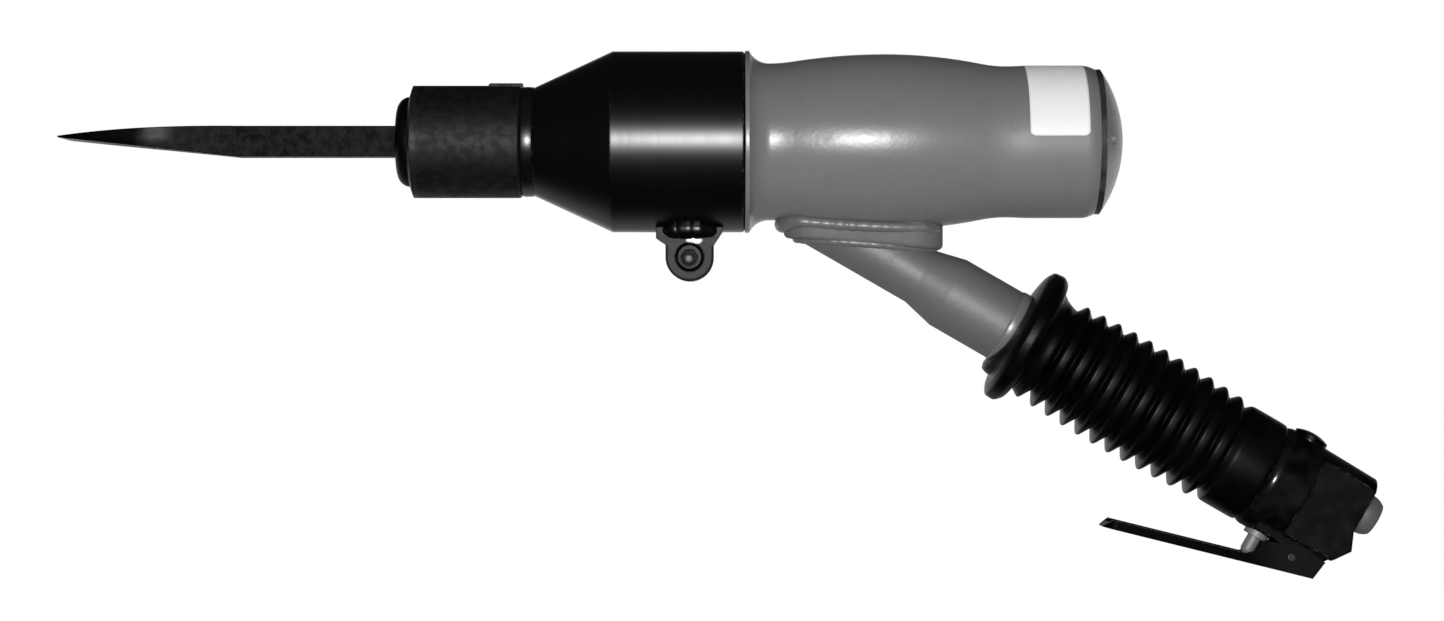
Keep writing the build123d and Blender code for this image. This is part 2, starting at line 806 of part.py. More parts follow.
# Rear cap seal, squeezed between the casing's end and the cap's head
with BuildPart() as rear_cap_seal:
    with BuildSketch(Plane.YZ.offset(casing_rear)):
        Circle(cap_seal_radius)
        Circle(casing_bore, mode=Mode.SUBTRACT)
    extrude(amount=cap_seal_width)
rear_cap_seal.part.label = "rear_cap_seal"
export_step(rear_cap_seal.part, "parts/rear_cap_seal.step")

# Piston: a plain hammer with a smaller striking nose and two oil grooves
with BuildPart() as piston:
    with BuildSketch(Plane.YZ.offset(piston_front)):
        Circle(piston_nose_radius)
    extrude(amount=piston_nose_length)
    with BuildSketch(Plane.YZ.offset(piston_front + piston_nose_length)):
        Circle(piston_radius)
    extrude(amount=piston_length - piston_nose_length)
    chamfer(piston.faces().sort_by(Axis.X)[0].edges(), edge_break)
    for share in piston_groove_shares:
        with BuildSketch(Plane.YZ.offset(piston_front + share * piston_length)):
            Circle(piston_radius)
            Circle(piston_radius - piston_groove_depth, mode=Mode.SUBTRACT)
        extrude(amount=piston_groove_width, mode=Mode.SUBTRACT)
piston.part.label = "piston"
export_step(piston.part, "parts/piston.step")

# Cylinder: floats in the casing on two guide lands, each with a seal groove
rear_land = cylinder_rear - land_width
groove_radius = guide_radius - seal_section + free_gap
with BuildPart() as cylinder:
    with BuildSketch(Plane.YZ.offset(cylinder_front)):
        Circle(cylinder_radius)
    extrude(amount=cylinder_length)
    for start in (front_land, rear_land):
        with BuildSketch(Plane.YZ.offset(start)):
            Circle(guide_radius)
        extrude(amount=land_width)
        with BuildSketch(Plane.YZ.offset(start + (land_width - seal_section) / 2)):
            Circle(casing_bore)
            Circle(groove_radius, mode=Mode.SUBTRACT)
        extrude(amount=seal_section, mode=Mode.SUBTRACT)
    with BuildSketch(Plane.YZ.offset(cylinder_front)):
        Circle(cylinder_bore)
    extrude(amount=cylinder_length - cylinder_head, mode=Mode.SUBTRACT)
    with BuildSketch(Plane.YZ.offset(cylinder_rear)):
        Circle(head_port_radius)
        with PolarLocations(chest_screw_circle, chest_screw_count, start_angle=90):
            Circle(chest_screw_radius)
    extrude(amount=-chest_screw_grip, mode=Mode.SUBTRACT)
    for setback in (exhaust_port_setback, feed_port_setback):
        for plane in (Plane.XY, Plane.XZ):
            with BuildSketch(plane):
                with Locations((cylinder_front + setback, 0)):
                    Circle(port_radius)
            extrude(amount=casing_bore, both=True, mode=Mode.SUBTRACT)
cylinder.part.label = "cylinder"
export_step(cylinder.part, "parts/cylinder.step")

# Cylinder seals: one rubber ring to each guide land
with BuildPart() as cylinder_seals:
    for start in (front_land, rear_land):
        with BuildSketch(Plane.YZ.offset(start + (land_width - seal_section) / 2)):
            Circle(guide_radius)
            Circle(groove_radius, mode=Mode.SUBTRACT)
        extrude(amount=seal_section)
cylinder_seals.part.label = "cylinder_seals"
export_step(cylinder_seals.part, "parts/cylinder_seals.step")

# Valve plate: closes the cylinder's back and seats the valve disc
with BuildPart() as valve_plate:
    with BuildSketch(Plane.YZ.offset(cylinder_rear)):
        Circle(valve_chest_radius)
        Circle(head_port_radius, mode=Mode.SUBTRACT)
        with PolarLocations(chest_screw_circle, chest_screw_count, start_angle=90):
            Circle(chest_screw_radius, mode=Mode.SUBTRACT)
    extrude(amount=valve_plate_thickness)
valve_plate.part.label = "valve_plate"
export_step(valve_plate.part, "parts/valve_plate.step")

# Valve disc: the loose plate that steers air to each end of the piston
disc_play = valve_pocket_depth - valve_disc_thickness - free_gap
with BuildPart() as valve_disc:
    with BuildSketch(Plane.YZ.offset(plate_rear + running_fit)):
        Circle(valve_disc_radius)
    extrude(amount=valve_disc_thickness)
valve_disc.part.label = "valve_disc"
export_step(valve_disc.part, "parts/valve_disc.step")

# Valve chest: the cup over the disc, with side feed holes and three sunk screws
with BuildPart() as valve_chest:
    with BuildSketch(Plane.YZ.offset(plate_rear)):
        Circle(valve_chest_radius)
        with PolarLocations(chest_screw_circle, chest_screw_count, start_angle=90):
            Circle(chest_screw_radius, mode=Mode.SUBTRACT)
    extrude(amount=valve_chest_length)
    with BuildSketch(Plane.YZ.offset(plate_rear)):
        Circle(valve_pocket_radius)
    extrude(amount=valve_pocket_depth, mode=Mode.SUBTRACT)
    with BuildSketch(Plane.XY):
        with Locations((plate_rear + valve_pocket_depth / 2, 0)):
            Circle(valve_feed_radius)
    extrude(amount=casing_bore, both=True, mode=Mode.SUBTRACT)
    with BuildSketch(Plane.YZ.offset(chest_rear)):
        with PolarLocations(chest_screw_circle, chest_screw_count, start_angle=90):
            Circle(chest_screw_head_radius)
    extrude(amount=-chest_screw_head_height - running_fit, mode=Mode.SUBTRACT)
valve_chest.part.label = "valve_chest"
export_step(valve_chest.part, "parts/valve_chest.step")

# Chest screws: three M4 socket caps through the chest and plate into the cylinder
chest_head_seat = chest_rear - chest_screw_head_height - running_fit
with BuildPart() as chest_screws:
    with BuildSketch(Plane.YZ.offset(chest_head_seat)):
        with PolarLocations(chest_screw_circle, chest_screw_count, start_angle=90):
            Circle(chest_screw_head_radius)
    extrude(amount=chest_screw_head_height)
    with BuildSketch(Plane.YZ.offset(chest_head_seat)):
        with PolarLocations(chest_screw_circle, chest_screw_count, start_angle=90):
            Circle(chest_screw_radius)
    extrude(amount=-(chest_head_seat - cylinder_rear + chest_screw_grip))
    with BuildSketch(Plane.YZ.offset(chest_head_seat + chest_screw_head_height)):
        with PolarLocations(chest_screw_circle, chest_screw_count, start_angle=90):
            RegularPolygon(chest_socket_flats / 2, 6, major_radius=False)
    extrude(amount=-chest_socket_depth, mode=Mode.SUBTRACT)
chest_screws.part.label = "chest_screws"
export_step(chest_screws.part, "parts/chest_screws.step")

# Front spring: holds the cylinder back from the tube's inner shoulder
front_spring_length = front_land - spring_seat
front_spring_radius = cylinder_radius + free_gap + front_spring_wire / 2
front_seat = Plane.YZ.offset(spring_seat)
front_path = coil_path(
    "front spring",
    front_seat,
    front_spring_radius,
    front_spring_wire,
    front_spring_length,
    front_spring_turns,
)
with BuildPart() as front_spring:
    with BuildSketch(Plane(origin=front_path @ 0, z_dir=front_path % 0)):
        Circle(front_spring_wire / 2)
    sweep(path=front_path)
    with BuildSketch(front_seat):
        Circle(front_spring_radius + front_spring_wire)
    extrude(amount=front_spring_length, mode=Mode.INTERSECT)
front_spring.part.label = "front_spring"
export_step(front_spring.part, "parts/front_spring.step")

# Rear spring: takes the recoil between the valve chest and the rear cap
rear_spring_length = cap_face - chest_rear
rear_spring_radius = casing_bore - free_gap - rear_spring_wire
rear_seat = Plane.YZ.offset(chest_rear)
rear_path = coil_path(
    "rear spring",
    rear_seat,
    rear_spring_radius,
    rear_spring_wire,
    rear_spring_length,
    rear_spring_turns,
)
with BuildPart() as rear_spring:
    with BuildSketch(Plane(origin=rear_path @ 0, z_dir=rear_path % 0)):
        Circle(rear_spring_wire / 2)
    sweep(path=rear_path)
    with BuildSketch(rear_seat):
        Circle(rear_spring_radius + rear_spring_wire)
    extrude(amount=rear_spring_length, mode=Mode.INTERSECT)
rear_spring.part.label = "rear_spring"
export_step(rear_spring.part, "parts/rear_spring.step")

# Handle pipe: thin where it meets the saddle, swaged out to carry the grip
pipe_start = -handle_lead - 2 * strut_radius
with BuildPart() as handle_pipe:
    with BuildSketch(handle_side):
        with BuildLine():
            Polyline(
                (pipe_start, strut_radius - pipe_wall),
                (pipe_start, strut_radius),
                (swage_start, strut_radius),
                (swage_end, pipe_radius),
                (throttle_front, pipe_radius),
                (throttle_front, pipe_radius - pipe_wall),
                (swage_end, pipe_radius - pipe_wall),
                (swage_start, strut_radius - pipe_wall),
                close=True,
            )
        make_face()
    revolve(axis=handle_axis)
    with BuildSketch(Plane.XZ):
        with BuildLine():
            Polyline(
                (tube_rear - saddle_length, 0),
                (saddle_rear + saddle_length, 0),
                (saddle_rear + saddle_length, -bulge_radius - saddle_rear_drop),
                (saddle_rear, -bulge_radius - saddle_rear_drop),
                (strut_meets, -bulge_radius - saddle_front_drop),
                (tube_rear - saddle_length, -bulge_radius - saddle_front_drop),
                close=True,
            )
        make_face()
    extrude(amount=saddle_width, both=True, mode=Mode.SUBTRACT)
handle_pipe.part.label = "handle_pipe"
export_step(handle_pipe.part, "parts/handle_pipe.step")


def grip_radius(along):
    """The rib crests swell to a low belly half way down the grip."""
    share = (along - grip_ribs_start) / (grip_ribs_end - grip_ribs_start)
    return grip_end_radius + grip_belly * math.sin(math.pi * share)


# Grip: a rubber sleeve with a front collar, a hand flange, ring ribs and a plain cuff
rib_outline = []
for rib in range(grip_rib_count):
    crest = grip_ribs_start + (rib + 0.5) * grip_rib_pitch
    height = grip_radius(crest)
    rib_outline.append((crest - grip_rib_pitch / 2, height - grip_rib_depth))
    rib_outline.append((crest - grip_rib_flat / 2, height))
    rib_outline.append((crest + grip_rib_flat / 2, height))
with BuildPart() as grip:
    with BuildSketch(handle_side):
        with BuildLine():
            Polyline(
                (grip_start, pipe_radius),
                (grip_start, grip_collar_radius - grip_collar_edge),
                (grip_start + grip_collar_edge, grip_collar_radius),
                (grip_flange_start, grip_collar_radius),
                (grip_flange_start, grip_flange_radius - grip_flange_edge),
                (grip_flange_start + grip_flange_edge, grip_flange_radius),
                (grip_flange_rear - grip_flange_back, grip_flange_radius),
                (grip_flange_rear, grip_flange_radius - grip_flange_back_drop),
                *rib_outline,
                (grip_ribs_end, grip_end_radius - grip_rib_depth),
                (grip_cuff_start, grip_cuff_radius),
                (throttle_front - edge_break, grip_cuff_radius),
                (throttle_front, grip_cuff_radius - edge_break),
                (throttle_front, pipe_radius),
                close=True,
            )
        make_face()
    revolve(axis=handle_axis)
grip.part.label = "grip"
export_step(grip.part, "parts/grip.step")

# Throttle body: a turned block with a round shoulder, two flats, an inlet face, a chin and a tongue
throttle_face = throttle_rear - chin_depth
inlet_bush_front = throttle_face - inlet_bush_tail
throttle_back_radius = throttle_radius - throttle_taper
with BuildPart() as throttle_body:
    with BuildSketch(handle_side):
        with BuildLine():
            wall = Polyline(
                (throttle_front + throttle_shoulder_run, throttle_radius),
                (throttle_rear - throttle_chamfer, throttle_back_radius),
                (throttle_rear, throttle_back_radius - throttle_chamfer),
                (throttle_rear, 0),
                (throttle_front - throttle_spigot, 0),
                (throttle_front - throttle_spigot, pipe_radius - pipe_wall),
                (throttle_front, pipe_radius - pipe_wall),
                (throttle_front, throttle_radius - throttle_shoulder_drop),
            )
            TangentArc(wall @ 0, wall @ 1, tangent=(-1, 0))
        make_face()
    revolve(axis=handle_axis)
    with BuildSketch(handle_section(throttle_front + flat_setback)):
        Rectangle(3 * throttle_radius, 3 * throttle_radius)
        Rectangle(3 * throttle_radius, 2 * flat_offset, mode=Mode.SUBTRACT)
    extrude(amount=throttle_length, mode=Mode.SUBTRACT)
    with BuildSketch(handle_section(throttle_front + tongue_setback)):
        with Locations((tongue_ledge, tongue_half)):
            Rectangle(throttle_radius, throttle_radius, align=(Align.MIN, Align.MIN))
        with Locations((tongue_ledge, -tongue_half)):
            Rectangle(throttle_radius, throttle_radius, align=(Align.MIN, Align.MAX))
    extrude(amount=throttle_length, mode=Mode.SUBTRACT)
    with BuildSketch(handle_side):
        with Locations((pin_along, pin_offset)):
            Circle(lug_radius)
        with BuildLine():
            Polyline(
                (pin_along - 2 * lug_radius, tongue_ledge),
                (pin_along + 2 * lug_radius, tongue_ledge),
                (pin_along + lug_radius, pin_offset),
                (pin_along - lug_radius, pin_offset),
                close=True,
            )
        make_face()
    extrude(amount=tongue_half, both=True)
    with BuildSketch(handle_side):
        with Locations((pin_along, pin_offset)):
            Circle(pin_radius)
    extrude(amount=tongue_half, both=True, mode=Mode.SUBTRACT)
    with BuildSketch(handle_side):
        with BuildLine():
            Polyline(
                (valve_along, -2 * throttle_radius),
                (valve_along + plug_radius, -2 * throttle_radius),
                (valve_along + plug_radius, -plug_seat),
                (valve_along + valve_chamber_radius, -plug_seat),
                (valve_along + valve_chamber_radius, valve_seat_offset),
                (valve_along + valve_seat_radius, valve_seat_offset),
                (valve_along + valve_seat_radius, valve_gland_offset),
                (valve_along + stem_bush_radius, valve_gland_offset),
                (valve_along + stem_bush_radius, 2 * throttle_radius),
                (valve_along, 2 * throttle_radius),
                close=True,
            )
        make_face()
    revolve(axis=valve_axis, mode=Mode.SUBTRACT)
    with BuildSketch(handle_section(throttle_front - throttle_spigot)):
        with Locations((outlet_offset, 0)):
            Circle(passage_radius)
    extrude(amount=throttle_spigot + valve_along - throttle_front, mode=Mode.SUBTRACT)
    with BuildSketch(handle_section(valve_along)):
        with Locations((inlet_offset, 0)):
            Circle(passage_radius)
    extrude(amount=throttle_rear - valve_along, mode=Mode.SUBTRACT)
    with BuildSketch(handle_section(inlet_bush_front)):
        with Locations((inlet_offset, 0)):
            Circle(inlet_bush_tail_radius)
    extrude(amount=inlet_bush_tail, mode=Mode.SUBTRACT)
    with BuildSketch(handle_side):
        with BuildLine():
            Polyline(
                (throttle_rear, -throttle_radius),
                (throttle_face, -throttle_radius),
                (throttle_face, chin_start),
                (throttle_rear, heel_offset),
                (throttle_rear - heel_run, throttle_radius),
                (throttle_rear + heel_run, throttle_radius),
                (throttle_rear + heel_run, -throttle_radius),
                close=True,
            )
        make_face()
    extrude(amount=throttle_radius, both=True, mode=Mode.SUBTRACT)
throttle_body.part.label = "throttle_body"
export_step(throttle_body.part, "parts/throttle_body.step")

# Inlet bush: screwed into the back of the throttle body, round shouldered, threaded inside for a hose tail
inlet_mouth = throttle_face + inlet_bush_rise
thread_end = inlet_mouth - inlet_thread_length
strainer_seat = thread_end - strainer_thickness
with BuildPart() as inlet_bush:
    with BuildSketch(handle_side):
        with BuildLine():
            wall = Polyline(
                (inlet_mouth, inlet_offset - inlet_bush_radius + inlet_bush_drop),
                (inlet_mouth, inlet_offset - inlet_thread_radius),
                (thread_end, inlet_offset - inlet_thread_radius),
                (thread_end, inlet_offset - strainer_radius),
                (strainer_seat, inlet_offset - strainer_radius),
                (strainer_seat, inlet_offset - passage_radius),
                (inlet_bush_front, inlet_offset - passage_radius),
                (inlet_bush_front, inlet_offset - inlet_bush_tail_radius),
                (throttle_face, inlet_offset - inlet_bush_tail_radius),
                (throttle_face, inlet_offset - inlet_bush_radius),
                (inlet_mouth - inlet_bush_round, inlet_offset - inlet_bush_radius),
            )
            TangentArc(wall @ 1, wall @ 0, tangent=(1, 0))
        make_face()
    revolve(axis=inlet_axis)
inlet_bush.part.label = "inlet_bush"
export_step(inlet_bush.part, "parts/inlet_bush.step")

# Inlet strainer: a drilled disc at the bottom of the inlet's thread
with BuildPart() as inlet_strainer:
    with BuildSketch(handle_section(strainer_seat)):
        with Locations((inlet_offset, 0)):
            Circle(strainer_radius)
            with GridLocations(strainer_pitch, strainer_pitch, strainer_rows, strainer_rows):
                Circle(strainer_hole, mode=Mode.SUBTRACT)
    extrude(amount=strainer_thickness)
inlet_strainer.part.label = "inlet_strainer"
export_step(inlet_strainer.part, "parts/inlet_strainer.step")

# Valve plug: a domed screw that closes the valve bore above
plug_face = -plug_seat - plug_washer_thickness
plug_inner = -plug_seat + plug_thread_length
plug_curve = (plug_radius**2 + (plug_rise / 2) ** 2) / plug_rise
plug_swing = math.asin(plug_radius / plug_curve)
plug_half_way = plug_face - plug_rise + plug_curve * (1 - math.cos(plug_swing / 2))
with BuildPart() as valve_plug:
    with BuildSketch(handle_side):
        with BuildLine():
            Polyline(
                (valve_along, plug_inner),
                (valve_along + valve_chamber_radius, plug_inner),
                (valve_along + valve_chamber_radius, plug_face),
                (valve_along + plug_radius, plug_face),
                (valve_along + plug_radius, plug_face - plug_rise / 2),
            )
            ThreePointArc(
                (valve_along + plug_radius, plug_face - plug_rise / 2),
                (valve_along + plug_curve * math.sin(plug_swing / 2), plug_half_way),
                (valve_along, plug_face - plug_rise),
            )
            Line((valve_along, plug_face - plug_rise), (valve_along, plug_inner))
        make_face()
    revolve(axis=valve_axis)
    with BuildSketch(valve_section(plug_face - plug_rise)):
        RegularPolygon(plug_key_flats / 2, 6, major_radius=False)
    extrude(amount=plug_key_depth, mode=Mode.SUBTRACT)
valve_plug.part.label = "valve_plug"
export_step(valve_plug.part, "parts/valve_plug.step")

# Plug washer, under the plug's head
with BuildPart() as plug_washer:
    with BuildSketch(valve_section(plug_face)):
        Circle(plug_radius)
        Circle(valve_chamber_radius, mode=Mode.SUBTRACT)
    extrude(amount=plug_washer_thickness)
plug_washer.part.label = "plug_washer"
export_step(plug_washer.part, "parts/plug_washer.step")

# Valve stem: a domed push pin with the valve's head on its upper end
stem_face = valve_seat_offset - running_fit
stem_head = stem_face - stem_face_thickness
stem_top = stem_head - stem_head_height
with BuildPart() as valve_stem:
    with BuildSketch(handle_side):
        with BuildLine():
            Polyline(
                (valve_along, stem_tip - stem_radius),
                (valve_along, stem_top),
                (valve_along + stem_head_radius, stem_top),
                (valve_along + stem_head_radius, stem_head),
                (valve_along + stem_radius, stem_head),
                (valve_along + stem_radius, stem_tip - stem_radius),
            )
            RadiusArc(
                (valve_along + stem_radius, stem_tip - stem_radius),
                (valve_along, stem_tip),
                -stem_radius,
            )
            Line((valve_along, stem_tip), (valve_along, stem_tip - stem_radius))
        make_face()
    revolve(axis=valve_axis)
valve_stem.part.label = "valve_stem"
export_step(valve_stem.part, "parts/valve_stem.step")

# Stem face: the rubber washer that shuts on the seat
with BuildPart() as stem_face_washer:
    with BuildSketch(valve_section(stem_head)):
        Circle(stem_head_radius)
        Circle(stem_radius, mode=Mode.SUBTRACT)
    extrude(amount=stem_face_thickness)
stem_face_washer.part.label = "stem_face_washer"
export_step(stem_face_washer.part, "parts/stem_face_washer.step")

# Stem bush: a plated guide pressed into the tongue, standing proud below it
bush_end = pin_offset + web_squeezed - stem_bush_gap
bush_start = valve_gland_offset + stem_seal_length
with BuildPart() as stem_bush:
    with BuildSketch(valve_section(valve_gland_offset)):
        Circle(stem_bush_radius)
        Circle(stem_seal_radius, mode=Mode.SUBTRACT)
    extrude(amount=stem_seal_length)
    with BuildSketch(valve_section(bush_start)):
        Circle(stem_bush_radius)
        Circle(stem_radius + running_fit, mode=Mode.SUBTRACT)
    extrude(amount=bush_end - bush_start)
stem_bush.part.label = "stem_bush"
export_step(stem_bush.part, "parts/stem_bush.step")

# Stem seal: a rubber ring round the stem in the bush's upper end
with BuildPart() as stem_seal:
    with BuildSketch(valve_section(valve_gland_offset)):
        Circle(stem_seal_radius)
        Circle(stem_radius + running_fit, mode=Mode.SUBTRACT)
    extrude(amount=stem_seal_length)
stem_seal.part.label = "stem_seal"
export_step(stem_seal.part, "parts/stem_seal.step")

# Valve spring: shuts the valve, between the stem's head and the plug
valve_spring_length = stem_top - plug_inner
valve_spring_radius = stem_head_radius - valve_spring_wire
valve_spring_seat = valve_section(plug_inner)
valve_path = coil_path(
    "valve spring",
    valve_spring_seat,
    valve_spring_radius,
    valve_spring_wire,
    valve_spring_length,
    valve_spring_turns,
)
with BuildPart() as valve_spring:
    with BuildSketch(Plane(origin=valve_path @ 0, z_dir=valve_path % 0)):
        Circle(valve_spring_wire / 2)
    sweep(path=valve_path)
    with BuildSketch(valve_spring_seat):
        Circle(valve_spring_radius + valve_spring_wire)
    extrude(amount=valve_spring_length, mode=Mode.INTERSECT)
valve_spring.part.label = "valve_spring"
export_step(valve_spring.part, "parts/valve_spring.step")

# Throttle lever: a channel of sheet steel whose sides rise into cheeks about the pin
boss_top = (lever_boss_radius * math.sin(tilt), lever_boss_radius * math.cos(tilt))
with BuildPart() as throttle_lever:
    with BuildSketch(lever_side):
        with BuildLine():
            Polyline(
                (-lever_front, -web_outer),
                (-lever_front + lever_tip_slant, -web_outer + lever_lip),
                (-lever_cheek_start, -web_outer + lever_lip),
                (-lever_cheek_front, lever_cheek_rise),
                (-lever_cheek_front, lever_cheek_top),
                boss_top,
                (lever_heel, lever_heel_rise),
                (lever_rear, -web_outer),
                close=True,
            )
        make_face()
        Circle(lever_boss_radius)
    extrude(amount=lever_half, both=True)
    with BuildSketch(lever_side):
        with Locations((-lever_front, -web_inner)):
            Rectangle(2 * lever_front, lever_front, align=(Align.MIN, Align.MIN))
    extrude(amount=lever_inner, both=True, mode=Mode.SUBTRACT)
    with BuildSketch(lever_side):
        Circle(pin_radius)
    extrude(amount=lever_half, both=True, mode=Mode.SUBTRACT)
    with BuildSketch(lever_plan):
        with Locations((lever_front / 2, 0)):
            RectangleRounded(3 * lever_front, 2 * lever_half, lever_tip_corner)
    extrude(amount=lever_front, both=True, mode=Mode.INTERSECT)
throttle_lever.part.label = "throttle_lever"
export_step(throttle_lever.part, "parts/throttle_lever.step")

# Lever pin: fixed in the tongue, the lever's cheeks turn on its ends
with BuildPart() as lever_pin:
    with BuildSketch(lever_side):
        Circle(pin_radius - running_fit)
    extrude(amount=lever_half + free_gap, both=True)
lever_pin.part.label = "lever_pin"
export_step(lever_pin.part, "parts/lever_pin.step")

print("stem travel", round(stem_travel, 3), "mm for", lever_travel, "degrees of lever")
print("inlet mouth", handle_point(inlet_mouth, inlet_offset))
print("lever pin", handle_point(pin_along, pin_offset))
print("grip middle", handle_point((grip_ribs_start + grip_ribs_end) / 2, 0))
print("valve disc play", round(disc_play, 3))
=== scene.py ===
# %% [markdown]
# # A pneumatic chisel scaler, dressed for its portrait
# The tool's solids come ready made from its CAD model. This lesson gives them a camera, light and
# finishes, and adds the few soft, uneven or springy pieces that a solid shows badly: the ribbed
# rubber grip, the rubber ring behind the sleeve, the weld beads, the bead of paint at the grip's
# mouth, three springs and a plain sticker. Lengths are in metres, in the frame of the solids: X
# runs back along the line of strike, Z is up, and Y goes away from the camera.

# %% Load the solids and keep their box
import json

import bmesh
import bpy
import numpy as np
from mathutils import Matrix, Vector


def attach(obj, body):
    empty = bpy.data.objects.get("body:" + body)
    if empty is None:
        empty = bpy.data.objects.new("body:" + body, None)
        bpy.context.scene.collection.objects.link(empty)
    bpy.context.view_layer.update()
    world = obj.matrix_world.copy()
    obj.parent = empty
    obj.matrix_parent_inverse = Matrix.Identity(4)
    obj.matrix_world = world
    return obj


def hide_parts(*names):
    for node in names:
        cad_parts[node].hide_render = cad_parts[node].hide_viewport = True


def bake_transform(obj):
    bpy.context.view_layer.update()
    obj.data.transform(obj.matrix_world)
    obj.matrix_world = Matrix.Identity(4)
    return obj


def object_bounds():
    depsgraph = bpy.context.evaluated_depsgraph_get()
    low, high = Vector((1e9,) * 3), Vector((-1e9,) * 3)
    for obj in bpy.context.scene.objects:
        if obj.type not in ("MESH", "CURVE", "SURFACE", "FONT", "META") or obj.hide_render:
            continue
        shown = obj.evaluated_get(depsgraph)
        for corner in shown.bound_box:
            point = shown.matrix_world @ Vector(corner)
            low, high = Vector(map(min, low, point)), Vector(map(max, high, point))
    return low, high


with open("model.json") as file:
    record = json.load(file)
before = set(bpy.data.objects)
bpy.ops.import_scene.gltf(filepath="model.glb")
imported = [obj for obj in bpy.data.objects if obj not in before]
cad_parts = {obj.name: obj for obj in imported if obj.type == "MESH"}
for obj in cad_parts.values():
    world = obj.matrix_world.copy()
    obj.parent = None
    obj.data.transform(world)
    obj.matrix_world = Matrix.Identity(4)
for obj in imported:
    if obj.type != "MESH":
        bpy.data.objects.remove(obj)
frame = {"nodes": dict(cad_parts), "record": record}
nodes = frame["nodes"]
cad_low, cad_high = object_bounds()
print("solids", len(nodes), "box in mm", [round(1000 * (b - a), 1) for a, b in zip(cad_low, cad_high)])

# %% [markdown]
# ## The camera
# A product photograph is matched from its scale. One pixel covers 0.36 mm on the tool's middle
# plane, so the whole picture is 520 mm wide there. How much larger the near surfaces look gives the
# distance, a little over a metre. With both known, the focal length follows, and no trial and error
# is needed.

# %% Place the camera
PHOTO_SIZE = (1444, 621)
METRES_A_PIXEL = 0.00036
ORIGIN_PIXEL = (396.0, 142.0)
CAMERA_DISTANCE = 1.06
SENSOR_MM = 36.0


def photo_place(px, py, away=0.0):
    """The point on the plane Y = away that a pixel of the middle plane's own scale stands for."""
    x = (px - ORIGIN_PIXEL[0]) * METRES_A_PIXEL
    z = (ORIGIN_PIXEL[1] - py) * METRES_A_PIXEL
    return Vector((x, away, z))


camera = bpy.data.objects.new("camera", bpy.data.cameras.new("camera"))
bpy.context.scene.collection.objects.link(camera)
camera.location = photo_place(PHOTO_SIZE[0] / 2, PHOTO_SIZE[1] / 2, -CAMERA_DISTANCE)
camera.rotation_euler = (np.pi / 2, 0, 0)
camera.data.sensor_fit = "HORIZONTAL"
camera.data.sensor_width = SENSOR_MM
camera.data.lens = SENSOR_MM * CAMERA_DISTANCE / (PHOTO_SIZE[0] * METRES_A_PIXEL)
bpy.context.scene.camera = camera
bpy.context.scene.view_settings.view_transform = "Standard"
print("camera at", [round(c, 4) for c in camera.location], "lens", round(camera.data.lens, 1), "mm")

# %% [markdown]
# ## A small language for finishes
# A finish is a node tree, and wiring one by hand hides its idea in bookkeeping. Here a value that
# changes over the surface is wrapped in a class, and arithmetic on it adds the Math nodes. One
# method adds any other node: first its settings, then the values or links of its sockets.

# %% Values and trees


class Value:
    """A socket's output. Arithmetic on it adds Math nodes to the tree that it belongs to."""

    def __init__(self, tree, socket):
        self.tree = tree
        self.socket = socket

    def __add__(self, other):
        return self.tree.math("ADD", self, other)

    def __radd__(self, other):
        return self.tree.math("ADD", other, self)

    def __sub__(self, other):
        return self.tree.math("SUBTRACT", self, other)

    def __rsub__(self, other):
        return self.tree.math("SUBTRACT", other, self)

    def __mul__(self, other):
        return self.tree.math("MULTIPLY", self, other)

    def __rmul__(self, other):
        return self.tree.math("MULTIPLY", other, self)

    def __truediv__(self, other):
        return self.tree.math("DIVIDE", self, other)

    def __rtruediv__(self, other):
        return self.tree.math("DIVIDE", other, self)

    def __abs__(self):
        return self.tree.math("ABSOLUTE", self)


